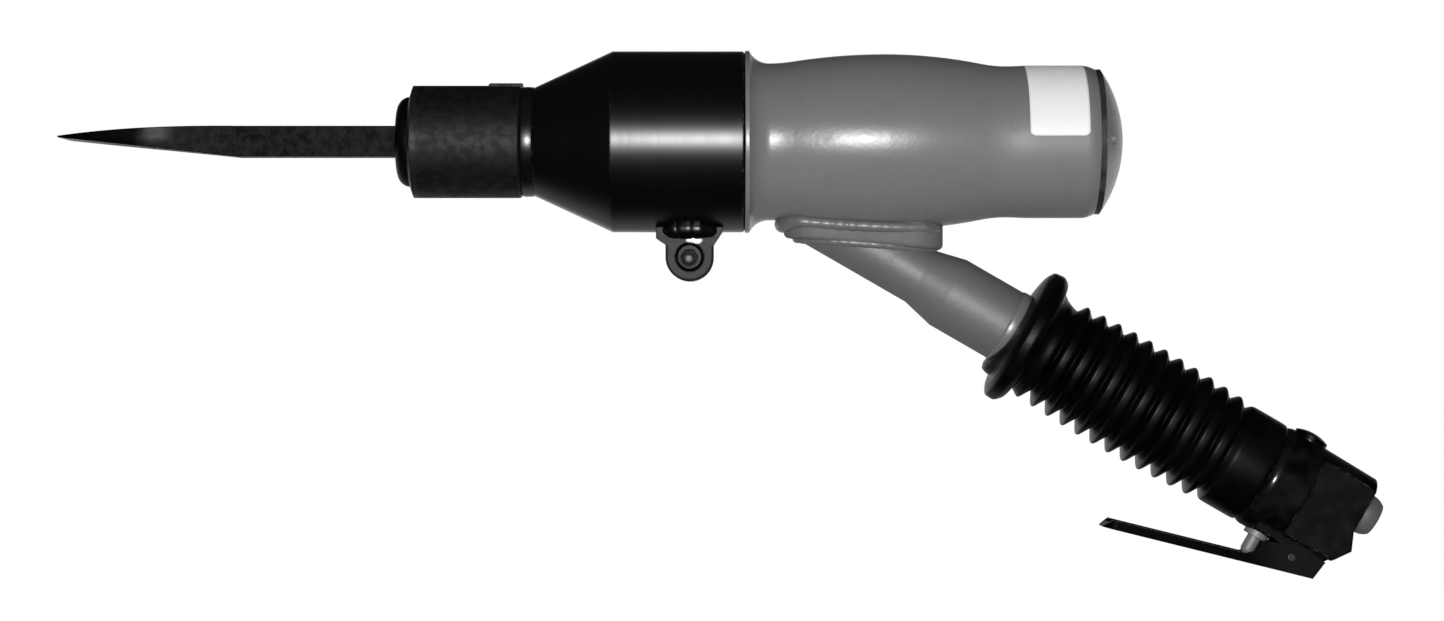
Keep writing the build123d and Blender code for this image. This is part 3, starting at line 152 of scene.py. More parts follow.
class Tree:
    """A node tree, with one method that adds any node and short names for the common ones."""

    def __init__(self, tree):
        self.tree = tree
        tree.nodes.clear()

    def feed(self, socket, value):
        """A Value is linked to the socket, and anything else becomes its plain value."""
        if isinstance(value, Value):
            self.tree.links.new(value.socket, socket)
        else:
            socket.default_value = value

    def node(self, kind, settings, inputs, output=0):
        """Adds a node, makes its settings, fills its sockets, and gives its output if it has one."""
        made = self.tree.nodes.new(kind)
        for name, value in settings.items():
            setattr(made, name, value)
        for name, value in inputs.items():
            self.feed(made.inputs[name], value)
        return Value(self, made.outputs[output]) if made.outputs else None

    def math(self, operation, *terms):
        """One Math node of this operation, with its terms in order."""
        return self.node("ShaderNodeMath", {"operation": operation}, dict(enumerate(terms)))

    def place(self):
        """The point's own place on its piece, in metres."""
        return self.node("ShaderNodeTexCoord", {}, {}, "Object")

    def axis(self, name):
        """One coordinate of that place."""
        return self.node("ShaderNodeSeparateXYZ", {}, {0: self.place()}, name)

    def noise(self, scale, detail=2.0, stretch=(1, 1, 1)):
        """Cloudy values about a half, with about this many clouds to a metre, closer where stretched."""
        spread = self.node("ShaderNodeMapping", {}, {"Vector": self.place(), "Scale": stretch})
        return self.node("ShaderNodeTexNoise", {}, {"Vector": spread, "Scale": scale, "Detail": detail})

    def step(self, value, low, high):
        """0 below low, 1 above high, and a smooth climb between."""
        ends = {"Value": value, "From Min": low, "From Max": high}
        return self.node("ShaderNodeMapRange", {"interpolation_type": "SMOOTHSTEP"}, ends)

    def mix(self, share, first, second):
        """A colour that goes from the first to the second as share goes from 0 to 1."""
        ends = [colour if isinstance(colour, Value) else (*colour, 1.0) for colour in (first, second)]
        return self.node("ShaderNodeMix", {"data_type": "RGBA"}, {0: share, 6: ends[0], 7: ends[1]}, 2)

    def span(self, x, y, z):
        """How far each point is from a place, left out along an axis that is given as None."""
        away = [self.axis(name) - c for name, c in zip("XYZ", (x, y, z)) if c is not None]
        return self.math("SQRT", sum((a * a for a in away[1:]), away[0] * away[0]))

    def soft_edge(self, radius):
        """The surface's normal with its sharp edges rounded to this radius."""
        return self.node("ShaderNodeBevel", {"samples": 6}, {"Radius": radius})

    def edge_mask(self, radius, flat=0.004, keen=0.06):
        """1 on sharp edges and 0 on open surface: how far a rounded normal leans from the true one."""
        true = self.node("ShaderNodeNewGeometry", {}, {}, "Normal")
        both = {0: self.soft_edge(radius), 1: true}
        alike = self.node("ShaderNodeVectorMath", {"operation": "DOT_PRODUCT"}, both, 1)
        return self.step(1 - alike, flat, keen)


class Finish(Tree):
    """A material: a Principled shader whose sockets take plain values or Values."""

    def __init__(self, name, **plain):
        self.material = bpy.data.materials.new(name)
        self.material.use_nodes = True
        super().__init__(self.material.node_tree)
        self.shader = self.tree.nodes.new("ShaderNodeBsdfPrincipled")
        end = self.tree.nodes.new("ShaderNodeOutputMaterial")
        self.tree.links.new(self.shader.outputs[0], end.inputs[0])
        self.set(**plain)

    def set(self, **sockets):
        """Fills sockets by name: base_color stands for Base Color, and so on."""
        names = {"specular_level": "Specular IOR Level"}
        for name, value in sockets.items():
            self.feed(self.shader.inputs[names.get(name, name.replace("_", " ").title())], value)

    def relief(self, height, distance, rounding):
        """Bump of this height in metres over normals whose edges are rounded."""
        rounded = self.soft_edge(rounding)
        inputs = {"Height": height, "Strength": 1.0, "Distance": distance, "Normal": rounded}
        self.set(normal=self.node("ShaderNodeBump", {}, inputs))


print("values add up through", Value.__add__.__name__, "and", Value.__radd__.__name__)

# %% [markdown]
# ## The soft box
# The photograph was lit from just above the lens: every barrel carries one soft highlight along its
# middle, and on the bulge of the casing that highlight is round. Where they sit on barrels of known
# radius gives the lamp's place. That they are as soft up and down as along the tool says that the
# lamp is small, and that the paint spreads its light. So one small soft box hangs over the camera.

# %% The soft box
KEY_PLACE = Vector((0.112, -1.12, 0.005))
KEY_TARGET = Vector((0.14, 0.0, 0.0))
KEY_SIZE = (0.14, 0.14)
KEY_WATTS = 11.6
key = bpy.data.objects.new("soft_box", bpy.data.lights.new("soft_box", "AREA"))
bpy.context.scene.collection.objects.link(key)
key.data.shape = "RECTANGLE"
key.data.size, key.data.size_y = KEY_SIZE
key.data.energy = KEY_WATTS
key.location = KEY_PLACE
key.rotation_euler = (KEY_TARGET - KEY_PLACE).to_track_quat("-Z", "Y").to_euler()
print("soft box", KEY_SIZE, "m,", KEY_WATTS, "W")

# %% [markdown]
# ## The world
# A studio's walls fill the shadows. More lamps could stand for them, but a world that changes with
# direction is simpler and puts no second highlight on the paint: a soft grey, dimmer on the
# camera's side. What the camera sees of it is white. A polished surface sees the same white
# backdrop behind the tool, but a dim studio on the camera's side, which keeps black paint black.

# %% The world
NEAR_FILL = 0.20
FAR_FILL = 0.65
STUDIO = 0.015
FILL_TURNS = (-0.3, 0.7)
WALL_BEHIND = (0.45, 0.95)
WALL_TOP = (0.14, 0.42)


def rays(tree, *kinds):
    """1 for the kinds of ray that are named, and 0 for all others."""
    seen = [tree.node("ShaderNodeLightPath", {}, {}, f"Is {kind} Ray") for kind in kinds]
    return tree.math("MINIMUM", sum(seen[1:], seen[0]), 1.0)


world = bpy.data.worlds.new("studio")
world.use_nodes = True
bpy.context.scene.world = world
sky = Tree(world.node_tree)
look = sky.node("ShaderNodeTexCoord", {}, {}, "Generated")
up = sky.node("ShaderNodeSeparateXYZ", {}, {0: look}, "Z")
away = sky.node("ShaderNodeSeparateXYZ", {}, {0: look}, "Y")
white_wall = sky.step(away, *WALL_BEHIND) * (1 - sky.step(up, *WALL_TOP))
walls = sky.mix((1 - white_wall) * rays(sky, "Glossy"), (1, 1, 1), (STUDIO,) * 3)
backdrop = sky.node("ShaderNodeBackground", {}, {"Color": walls, "Strength": 1.0})
soft = sky.mix(sky.step(away, *FILL_TURNS), (NEAR_FILL,) * 3, (FAR_FILL,) * 3)
fill = sky.node("ShaderNodeBackground", {}, {"Color": soft, "Strength": 1.0})
seen = rays(sky, "Camera", "Glossy", "Transmission")
surround = sky.node("ShaderNodeMixShader", {}, {0: seen, 1: fill, 2: backdrop})
sky.node("ShaderNodeOutputWorld", {}, {"Surface": surround})
print("world fill", NEAR_FILL, "in front and", FAR_FILL, "behind")

# %% [markdown]
# ## The floor
# A soft shadow says how the tool lies, so it needs a floor. A plain white one would turn grey
# wherever the lamp is far. This one is pale and partly matt below the tool, where it takes the
# shadow, and glows white further out. Polished surfaces see it dim in front of the tool, for the
# same reason as the studio.

# %% The floor
FLOOR_DROP = 0.12
FLOOR_HALF = 6.0
FLOOR_TONE = 0.7
FLOOR_MIDDLE = (0.12, 0.0, None)
WHITE_FROM = (0.45, 0.95)
BEHIND_TOOL = (0.0, 0.4)
FAR_WHITE = 0.95
NEAR_WHITE = 0.6
GLOW_STRENGTH = 1.04
floor_level = cad_low[2] - FLOOR_DROP
corners = np.array([[-1, -1], [1, -1], [1, 1], [-1, 1]]) * FLOOR_HALF
floor_mesh = bpy.data.meshes.new("floor")
floor_mesh.from_pydata([(x, y, floor_level) for x, y in corners.tolist()], [], [(0, 1, 2, 3)])
floor = bpy.data.objects.new("floor", floor_mesh)
bpy.context.scene.collection.objects.link(floor)
floor_look = bpy.data.materials.new("pale_floor")
floor_look.use_nodes = True
boards = Tree(floor_look.node_tree)
matt = boards.node("ShaderNodeBsdfDiffuse", {}, {"Color": (*(FLOOR_TONE,) * 3, 1.0)})
further_out = boards.step(boards.span(*FLOOR_MIDDLE), *WHITE_FROM)
behind = boards.step(boards.axis("Y"), *BEHIND_TOOL)
mirrored = rays(boards, "Glossy")
shade = boards.mix(mirrored * (1 - behind), (1, 1, 1), (STUDIO,) * 3)
glow = boards.node("ShaderNodeEmission", {}, {"Color": shade, "Strength": GLOW_STRENGTH})
whiter = NEAR_WHITE + further_out * (FAR_WHITE - NEAR_WHITE)
seen_white = rays(boards, "Camera", "Transmission") * whiter
bright = seen_white + mirrored * (1 - behind * (1 - further_out))
both = boards.node("ShaderNodeMixShader", {}, {0: bright, 1: matt, 2: glow})
boards.node("ShaderNodeOutputMaterial", {}, {"Surface": both})
floor_mesh.materials.append(floor_look)
print("floor at", round(1000 * floor_level, 1), "mm")

# %% [markdown]
# ## Grey enamel
# The casing, its cap and the handle's pipe are sprayed with a satin grey enamel over turned and
# welded steel. Such paint is not flat: it has orange peel a millimetre or two across, its tone
# drifts over a few centimetres, and it rubs thin on edges, where a lighter primer shows. A picture
# of paint would have to be unwrapped on to every piece. Noises of different sizes read the place on
# the piece instead, and never repeat. The rear of the casing, where a hand steadies the tool, is
# duller.

# %% Satin grey enamel
ENAMEL_DARK = (0.119, 0.120, 0.122)
ENAMEL_LIGHT = (0.149, 0.150, 0.152)
HANDLED_X = (0.190, 0.216)
CAP_X = (0.2475, 0.2490)


def satin_grey_enamel(
    name, lump_size, lump_depth, roughness, rounding=0.0006, shade=1.0, shine=0.5, handled=0.0
):
    """Orange peel over lumps: fine and shallow on turned steel, coarse and deep on a forging or a weld.

    Paint that is handled a lot grows duller between the two values of HANDLED_X, as far as the cap.
    """
    paint = Finish(name, specular_level=shine)
    drift = paint.noise(28, 3.0)
    lumps = paint.noise(lump_size, 2.0)
    grime = paint.step(paint.noise(140, 5.0), 0.56, 0.74)
    rubbed = paint.edge_mask(0.0009) * paint.step(paint.noise(240, 4.0), 0.45, 0.62)
    tone = paint.math("MAXIMUM", drift * 0.9 + lumps * 0.2 - grime * 0.3 + rubbed * 0.9, 0.0)
    dark, light = [tuple(shade * c for c in colour) for colour in (ENAMEL_DARK, ENAMEL_LIGHT)]
    paint.set(base_color=paint.mix(tone, dark, light))
    dull = paint.step(paint.axis("X"), *HANDLED_X) - paint.step(paint.axis("X"), *CAP_X)
    paint.set(roughness=roughness + drift * 0.08 + grime * 0.08 + dull * handled)
    paint.relief(lumps + grime * 0.2, lump_depth, rounding)
    return paint


finishes = {"satin_grey_paint": satin_grey_enamel("satin_grey_enamel", 620, 0.00004, 0.27, handled=0.14)}
pipe_enamel = satin_grey_enamel("pipe_grey_enamel", 500, 0.00008, 0.48, shade=0.73, shine=0.9)
forged_enamel = satin_grey_enamel("forged_grey_enamel", 300, 0.0004, 0.58, 0.0018, shade=0.8, shine=0.3)
weld_enamel = satin_grey_enamel("weld_grey_enamel", 420, 0.0001, 0.34, shade=0.8, shine=0.7)
wet_enamel = satin_grey_enamel("wet_grey_enamel", 620, 0.00002, 0.30, shade=0.9, shine=1.0)
print("enamel nodes", len(finishes["satin_grey_paint"].tree.nodes))

# %% [markdown]
# ## Gloss black paint
# Three blacks sit side by side, and only their surfaces tell them apart. The front tube has gloss
# paint over turned steel, and the turning marks still show through as fine streaks round it. A
# noise drawn out round the barrel makes such streaks, and needs neither an image nor an unwrapped
# surface.

# %% Gloss black paint
BLACK = (0.0008, 0.0008, 0.0009)
ROUND_BARREL = (1, 0.02, 0.02)


def gloss_black_paint():
    """Streaks that run round the barrel set relief and roughness, and edges are chipped to grey."""
    paint = Finish("gloss_black_paint", specular_level=0.46)
    turned = paint.noise(700, 3.0, ROUND_BARREL)
    drift = paint.noise(45, 3.0)
    chips = paint.edge_mask(0.0008) * paint.step(paint.noise(520, 4.0), 0.52, 0.62)
    paint.set(base_color=paint.mix(chips, BLACK, (0.05, 0.05, 0.051)))
    paint.set(roughness=0.26 + drift * 0.07 + turned * 0.04 + chips * 0.1)
    paint.relief(turned, 0.00003, 0.0009)
    return paint


finishes["gloss_black_paint"] = gloss_black_paint()
print("black paint", len(finishes["gloss_black_paint"].tree.nodes), "nodes")

# %% [markdown]
# ## Phosphated steel
# The sleeve and its key are phosphated, a crystal coat that scatters light, over a very fine cross
# knurl. Cutting the knurl into the mesh would take tens of thousands of faces for lines that hardly
# show. Instead two families of lines, worked out from the place on the barrel, go into the bump.

# %% Phosphated and knurled steel
KNURL_PITCH = 0.0011
SLEEVE_RADIUS = 0.0202
MOUTH_END = (0.0080, 0.0092)


def phosphate_coat():
    """Two families of fine lines, at 45 degrees each way round the barrel, under a grain of crystals."""
    coat = Finish("phosphate_coat", specular_level=0.33)
    round_way = coat.math("ARCTAN2", coat.axis("Y"), coat.axis("Z")) * SLEEVE_RADIUS
    left = abs(coat.math("FRACT", (coat.axis("X") + round_way) / KNURL_PITCH) - 0.5)
    right = abs(coat.math("FRACT", (coat.axis("X") - round_way) / KNURL_PITCH) - 0.5)
    grain = coat.noise(2600, 3.0)
    cloud = coat.step(coat.noise(300, 2.0), 0.36, 0.64)
    worn = coat.edge_mask(0.0009)
    # Lighter at the sleeve's front end: partly a rubbed rim, partly a painted sheen on the face that
    # meets the lamp.
    mouth = 1 - coat.step(coat.axis("X"), *MOUTH_END)
    blotch = coat.noise(300, 4.0)
    tone = grain * 0.3 + cloud * 0.8 + worn * 1.6 + mouth * 1.2 - 0.25
    coat.set(base_color=coat.mix(tone, (0.0002, 0.0002, 0.0002), (0.0062, 0.0062, 0.0063)))
    coat.set(roughness=0.55 + grain * 0.18 - worn * 0.12 - cloud * 0.1 - mouth * 0.1)
    coat.relief(left * 0.5 + right * 0.5 + grain * 0.6 + blotch * 1.8, 0.00009, 0.0005)
    return coat


finishes["phosphated_steel"] = phosphate_coat()
print("knurl pitch", KNURL_PITCH * 1000, "mm")

# %% [markdown]
# ## Black anodising
# The throttle body is anodised over a blasted casting: matt, but polished on the sides of its
# shoulder, where fingers slide. Those faces could have a second material. A clear coat whose weight
# is a mask keeps it one finish instead, and its borders soft.

# %% Black anodising
HANDLE_LEAN = np.pi / 6
SHOULDER_END = (0.3319, 0.3324)
SHOULDER_SIDE = (0.010, 0.014)


def black_anodising():
    """A blasted matt coat, worn grey on its edges, and polished where fingers slide on the shoulder."""
    coat = Finish("black_anodising", specular_level=0.06, coat_roughness=0.16)
    blast = coat.noise(1500, 3.0)
    cloud = coat.step(coat.noise(160, 4.0), 0.35, 0.7)
    bare = coat.edge_mask(0.0008) * coat.step(coat.noise(330, 4.0), 0.5, 0.62)
    coat.set(base_color=coat.mix(bare + cloud * 0.10, BLACK, (0.04, 0.04, 0.041)))
    coat.set(roughness=0.36 + blast * 0.14 + cloud * 0.06)
    along = coat.axis("X") * np.cos(HANDLE_LEAN) - coat.axis("Z") * np.sin(HANDLE_LEAN)
    on_side = coat.step(abs(coat.axis("Y")), *SHOULDER_SIDE)
    coat.set(coat_weight=on_side * (1 - coat.step(along, *SHOULDER_END)))
    coat.relief(blast, 0.00004, 0.0014)
    return coat


finishes["black_anodised"] = black_anodising()
print("anodising", len(finishes["black_anodised"].tree.nodes), "nodes")

# %% [markdown]
# ## Rubber
# The grip is moulded rubber, with a dry bloom and the fine texture of a blasted mould. The nose
# wiper and the seals are plain rubber. The ring over the key's tail is the shiniest, polished by
# the hands that roll it off and on. The seal under the rear cap is a dark grey kind, and its tone
# also stands for the shade in the groove between casing and cap, so it is partly painted shade. They
# are one material with other amounts of the same things, so one recipe makes all five: a slow noise
# for the bloom and a fine one for the texture.

# %% Five rubbers
DUSTLESS = 0.35


def moulded_rubber(name, bloom_size, texture_size, roughness, depth, shine, tone=0.0042):
    """One slow noise, the bloom, sets tone and roughness, and a fine one adds the mould's texture."""
    rubber = Finish(name, specular_level=shine)
    bloom = rubber.noise(bloom_size, 4.0)
    texture = rubber.noise(texture_size, 2.0)
    dust = rubber.step(bloom, 0.4, 0.8)
    rubber.set(base_color=rubber.mix(dust, (tone * DUSTLESS,) * 3, (tone,) * 3))
    rubber.set(roughness=roughness + bloom * 0.16)
    rubber.relief(texture + bloom * 0.5, depth, 0.0004)
    return rubber


finishes["grip_rubber"] = moulded_rubber("grip_rubber", 90, 1500, 0.30, 0.00004, 0.10, tone=0.0022)
finishes["black_rubber"] = moulded_rubber("plain_rubber", 160, 900, 0.22, 0.00001, 0.16)
own_finish = {
    "key_ring": moulded_rubber("polished_rubber", 160, 900, 0.20, 0.000005, 0.55),
    "nose_cap": moulded_rubber("wiper_rubber", 160, 900, 0.36, 0.00001, 0.06, tone=0.003),
    # Painted shade: this seal's dark grey also stands for the shade in the groove between casing and
    # cap.
    "rear_cap_seal": moulded_rubber("seal_rubber_and_groove_shade", 160, 900, 0.40, 0.00002, 0.2, tone=0.05),
}
print("rubbers", [name for name in finishes if "rubber" in name], "and", list(own_finish))

# %% [markdown]
# ## Cut steel
# Screws, pins, washers and the parts inside are plain steel, and they differ in how they were cut.
# So one recipe serves them all: a metal whose tone and roughness vary along streaks, with the
# streaks stretched along the way the cutter went. Edges are brighter where hands and tools have
# rubbed.

# %% One recipe for cut metal
def cut_metal(name, dark, light, roughness, streak_size, stretch, metallic=1.0):
    """Tone is half streak and half cloud, brighter on edges. The streaks also set the relief."""
    metal = Finish(name, metallic=metallic, specular_level=0.1)
    streak = metal.noise(streak_size, 4.0, stretch)
    cloud = metal.noise(90, 4.0)
    rubbed = metal.edge_mask(0.0005)
    tone = streak * 0.5 + cloud * 0.5 + rubbed * 0.5 - 0.1
    metal.set(base_color=metal.mix(tone, (dark,) * 3, (light,) * 3))
    metal.set(roughness=roughness + streak * 0.12 - rubbed * 0.08)
    metal.relief(streak, 0.00002, 0.0004)
    return metal


TURNED = (8, 1, 1)
MILLED = (2, 1, 2)
DRAWN = (1, 4, 1)
EVEN = (1, 1, 1)
finishes["bare_steel"] = cut_metal("machined_steel", 0.085, 0.215, 0.46, 700, MILLED, metallic=0.4)
finishes["blackened_screw"] = cut_metal("blackened_screw", 0.003, 0.013, 0.34, 500, TURNED)
finishes["zinc_steel"] = cut_metal("zinc_plate", 0.16, 0.28, 0.46, 500, DRAWN, metallic=0.35)
finishes["ground_steel"] = cut_metal("ground_steel", 0.30, 0.48, 0.22, 600, TURNED)
finishes["spring_steel"] = cut_metal("spring_wire", 0.12, 0.24, 0.30, 800, EVEN)
own_finish["valve_stem"] = finishes["zinc_steel"]
own_finish["valve_plug"] = finishes["blackened_screw"]
own_finish["lever_pin"] = cut_metal("rubbed_pin", 0.02, 0.06, 0.34, 500, TURNED)
print("cut metals", [name for name in finishes if "steel" in name])

# %% [markdown]
# ## The lever's black steel
# The lever is blackened plate. Its arm has almost no shine, and its wide root is a little greyer
# from rubbing. A mask could be painted on, but the lever lies nearly along X, so a smooth step in X
# parts the two in one line.

# %% The lever's black steel
LEVER_ROOT = (0.304, 0.320)


def black_lever():
    """The arm is the darkest, and the root, where the plate is wide and rubbed, a little greyer."""
    steel = Finish("black_lever", specular_level=0.02)
    streak = steel.noise(300, 4.0, (1, 6, 1))
    root = steel.step(steel.axis("X"), *LEVER_ROOT)
    rubbed = steel.edge_mask(0.0005)
    tone = root * 0.7 + streak * 0.3 + rubbed * 0.4 - 0.1
    steel.set(base_color=steel.mix(tone, (0.0003, 0.0003, 0.0003), (0.0095, 0.0095, 0.0096)))
    steel.set(roughness=0.34 + streak * 0.12)
    steel.relief(streak, 0.00002, 0.0004)
    return steel


finishes["lever_steel"] = black_lever()
print("lever's root in mm", [1000 * x for x in LEVER_ROOT])

# %% [markdown]
# ## Brass
# The strainer in the air inlet is the one brass piece. The recipe for cut steel makes only greys,
# and brass keeps its colour in its highlights, so it has a short recipe of its own.

# %% Turned brass
def turned_brass():
    """Streaks set tone, roughness and relief together."""
    brass = Finish("turned_brass", metallic=1.0)
    streak = brass.noise(600, 4.0, (1, 1, 6))
    brass.set(base_color=brass.mix(streak, (0.36, 0.27, 0.12), (0.56, 0.44, 0.21)))
    brass.set(roughness=0.26 + streak * 0.1)
    brass.relief(streak, 0.00002, 0.0002)
    return brass


finishes["brass"] = turned_brass()
print("brass", len(finishes["brass"].tree.nodes), "nodes")

# %% [markdown]
# ## The chisel
# The chisel is forged, and dark scale covers the bar. A small lighter patch on the upper half of
# the blade is a painted highlight, and beyond it the blade is darkened up to its edge, a painted
# shade. Three pieces of mesh would have hard borders. Smooth steps along the blade part the three
# finishes here, pushed to and fro by a slow noise.

# %% The chisel's forged bar, painted highlight and painted shade
HIGHLIGHT_FROM = (0.081, 0.088)
DARK_TIP_FROM = (0.089, 0.096)
UPPER_HALF = (-0.0015, 0.0015)
WANDER = 0.008


def chisel_steel():
    """Scale on the bar, a painted highlight on the upper half, then painted shade to the edge, parted by
    wavy lines.
    """
    steel = Finish("chisel_steel", metallic=1.0)
    ahead = steel.noise(60, 2.0) * WANDER - steel.axis("X")
    # Painted highlight: a lighter patch on the upper half of the blade, where its flare meets the lamp.
    patch = steel.step(ahead, *HIGHLIGHT_FROM) * steel.step(steel.axis("Z"), *UPPER_HALF)
    # Painted shade: beyond the patch the blade darkens up to its edge.
    dark_tip = steel.step(ahead, *DARK_TIP_FROM)
    scratch = steel.noise(900, 3.0, (0.06, 1, 1))
    scale = steel.step(steel.noise(330, 5.0), 0.28, 0.72)
    rubbed = steel.edge_mask(0.0005)
    tone = scale * 0.6 + scratch * 0.3 + rubbed * 0.4 - 0.1
    # The ground colour is the painted highlight's, and the edge colour is the painted shade's.
    ground = steel.mix(tone, (0.006, 0.006, 0.0062), (0.034, 0.034, 0.0345))
    forged = steel.mix(tone, (0.0030, 0.0030, 0.0031), (0.019, 0.019, 0.0194))
    edge = steel.mix(tone, (0.0004, 0.0004, 0.0004), (0.0020, 0.0020, 0.0020))
    steel.set(base_color=steel.mix(dark_tip, steel.mix(patch, forged, ground), edge))
    steel.set(roughness=0.50 - patch * 0.10 + scale * 0.1)
    steel.relief(scale * (1 - patch) + scratch * 0.3, 0.00012, 0.0006)
    return steel


finishes["tool_steel"] = chisel_steel()
# The patch called ground here is a painted highlight.
print("ground patch starts", 1000 * HIGHLIGHT_FROM[0], "mm ahead of the nose")

# %% [markdown]
# ## The clamp's ears
# The ears were welded to the tube before it was painted, so black paint runs down over their feet,
# and the round ends were masked and stay bare. Just above the screw's recess, on the camera's side
# only, the near ear gets a painted highlight. The socket screw gets a painted highlight in the middle
# of its socket's floor, with painted shade round it. Each of these could be a painted mask, but a
# height or a distance from the screw's middle says where it is, and stays right if the piece is
# remade.

# %% Painted feet and bare rings
EAR_X = 0.1058
EAR_Z = -0.0416
PAINT_LINE = (-0.0346, -0.0334)
PAINT_WAVE = 0.0016
EAR_HIGHLIGHT_MIDDLE = (EAR_X + 0.0016, EAR_Z + 0.0062)
EAR_HIGHLIGHT_REACH = (0.0030, 0.0018)
EAR_HIGHLIGHT_FADE = (0.2, 1.5)
SOCKET_MIDDLE = (EAR_X - 0.0003, None, EAR_Z - 0.0005)
SOCKET_HIGHLIGHT = (0.0006, 0.0019)
SOCKET_SHADE_END = (0.0022, 0.0040)
RAGGED = 0.0006


def clamp_ear_steel():
    """Paint above a wavy line, bare steel below it, and a painted highlight above and behind the screw.
    """
    ear = Finish("clamp_ear_steel", specular_level=0.05)
    wobble = ear.noise(330, 3.0) * PAINT_WAVE
    painted = ear.step(ear.axis("Z") + wobble, *PAINT_LINE)
    grain = ear.noise(800, 4.0, (2, 1, 2))
    over = (ear.axis("X") - EAR_HIGHLIGHT_MIDDLE[0]) / EAR_HIGHLIGHT_REACH[0]
    above = (ear.axis("Z") - EAR_HIGHLIGHT_MIDDLE[1]) / EAR_HIGHLIGHT_REACH[1]
    # Painted highlight: a soft oval above and behind the screw is made bright, on the camera's side
    # only.
    rubbed = 1 - ear.step(over * over + above * above + grain * 0.4, *EAR_HIGHLIGHT_FADE)
    camera_side = ear.step(0 - ear.axis("Y"), 0.0, 0.001)
    bright = rubbed * camera_side * (1 - painted)
    tone = grain + ear.edge_mask(0.0006) * 0.4
    bare = ear.mix(tone, (0.011, 0.011, 0.0113), (0.038, 0.038, 0.0385))
    ear.set(base_color=ear.mix(painted, ear.mix(bright, bare, (0.55, 0.55, 0.55)), BLACK))
    ear.set(metallic=(1 - painted) * 0.35 + bright * 0.4)
    ear.set(roughness=0.42 - painted * 0.14 + grain * 0.08)
    ear.relief(grain * (1 - painted), 0.00003, 0.0005)
    return ear


def socket_screw_steel():
    """Blackened all over, with a painted highlight in the middle of the socket's floor and painted shade
    round it.
    """
    screw = Finish("socket_screw_steel", metallic=1.0)
    grain = screw.noise(900, 4.0)
    out = screw.span(*SOCKET_MIDDLE)
    # Painted highlight in the middle of the socket's floor, and painted shade round it that fades out
    # towards the head's rim.
    rubbed = 1 - screw.step(out + grain * RAGGED, *SOCKET_HIGHLIGHT)
    rim = screw.step(out, *SOCKET_SHADE_END)
    black = screw.mix(rim * 0.7 + grain * 0.3, (0.0015, 0.0015, 0.0016), (0.011, 0.011, 0.0113))
    screw.set(base_color=screw.mix(rubbed, black, (0.03, 0.03, 0.0305)))
    screw.set(roughness=0.34 + grain * 0.12)
    screw.relief(grain, 0.00002, 0.0004)
    return screw


own_finish["clamp_ears"] = clamp_ear_steel()
own_finish["clamp_screw"] = socket_screw_steel()
own_finish["handle_saddle"] = forged_enamel
own_finish["handle_pipe"] = pipe_enamel
print("ears round X", 1000 * EAR_X, "mm, Z", 1000 * EAR_Z, "mm")

# %% [markdown]
# ## Every solid gets its finish
# The record that came with the solids names a material slot for each one, so the finishes are given
# out by slot, apart from the few solids with a finish of their own. No solid is left with the plain
# colour it arrived in.

# %% Give the finishes out
slot_of = {row["node"]: row["material_slot"] for row in frame["record"]["subparts"]}
for name, solid in nodes.items():
    solid.data.materials.clear()
    solid.data.materials.append(own_finish.get(name, finishes[slot_of[name]]).material)
print("dressed", len(nodes), "solids in", len(set(slot_of.values())), "finishes")

# %% [markdown]
# ## Meshes from grids
# Each new piece is a sheet of points worked out by a formula: one row after another along one
# parameter, and along each row the other. Four neighbours make a face. A sheet that closes on
# itself wraps round, so it has no seam.

# %% From a grid of points to a piece
def grid_piece(name, points, slot=None, finish=None, wrap_rows=False, wrap_columns=True, body="tool"):
    """Point (i, j) makes a face with (i + 1, j), (i + 1, j + 1) and (i, j + 1), round where it wraps."""
    rows, columns = points.shape[:2]
    i = np.arange(rows if wrap_rows else rows - 1)[:, None]
    j = np.arange(columns if wrap_columns else columns - 1)[None, :]
    below, right = (i + 1) % rows, (j + 1) % columns
    corners = [i * columns + j, below * columns + j, below * columns + right, i * columns + right]
    faces = np.stack(corners, axis=-1).reshape(-1, 4)
    mesh = bpy.data.meshes.new(name)
    mesh.vertices.add(rows * columns)
    mesh.vertices.foreach_set("co", points.astype(np.float32).ravel())
    mesh.loops.add(faces.size)
    mesh.loops.foreach_set("vertex_index", faces.astype(np.int32).ravel())
    mesh.polygons.add(len(faces))
    mesh.polygons.foreach_set("loop_start", np.arange(0, faces.size, 4, dtype=np.int32))
    mesh.polygons.foreach_set("use_smooth", np.ones(len(faces), dtype=bool))
    mesh.update(calc_edges=True)
    piece = bpy.data.objects.new(name, mesh)
    bpy.context.scene.collection.objects.link(piece)
    mesh.materials.append((finish or finishes[slot]).material)
    if body:
        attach(piece, body)
    box = np.ptp(points.reshape(-1, 3), axis=0)
    print(name, len(faces), "faces, box in mm", np.round(1000 * box, 1))
    return piece


# %% [markdown]
# ## The rubber grip
# The grip is a sleeve pushed on the pipe: a short collar, a broad flange that keeps the hand off
# the body, twelve ribs, and a plain cuff against the throttle. A lathe profile would do if it were
# round all the way, but the photo shows sharp deep ribs under the fingers, shallower ones over the
# palm, rounded ones on the side, and on top the flange runs out into the first rib. So three
# profiles are drawn, and each angle takes a blend of them.

# %% The handle's own directions
HANDLE_START = np.array([0.20880, 0.0, -0.05994])
DOWN_PIPE = np.array([np.cos(HANDLE_LEAN), 0.0, -np.sin(HANDLE_LEAN)])
TO_LEVER = np.array([-np.sin(HANDLE_LEAN), 0.0, -np.cos(HANDLE_LEAN)])
ACROSS = np.array([0.0, -1.0, 0.0])
MM = 0.001


def around_pipe(along, radius, angle):
    """Start + along down the pipe + radius, at an angle from the lever's side round to the camera's."""
    out = np.cos(angle)[..., None] * TO_LEVER + np.sin(angle)[..., None] * ACROSS
    return HANDLE_START + MM * (along[..., None] * DOWN_PIPE + radius[..., None] * out)


print("pipe runs", np.round(DOWN_PIPE, 3))

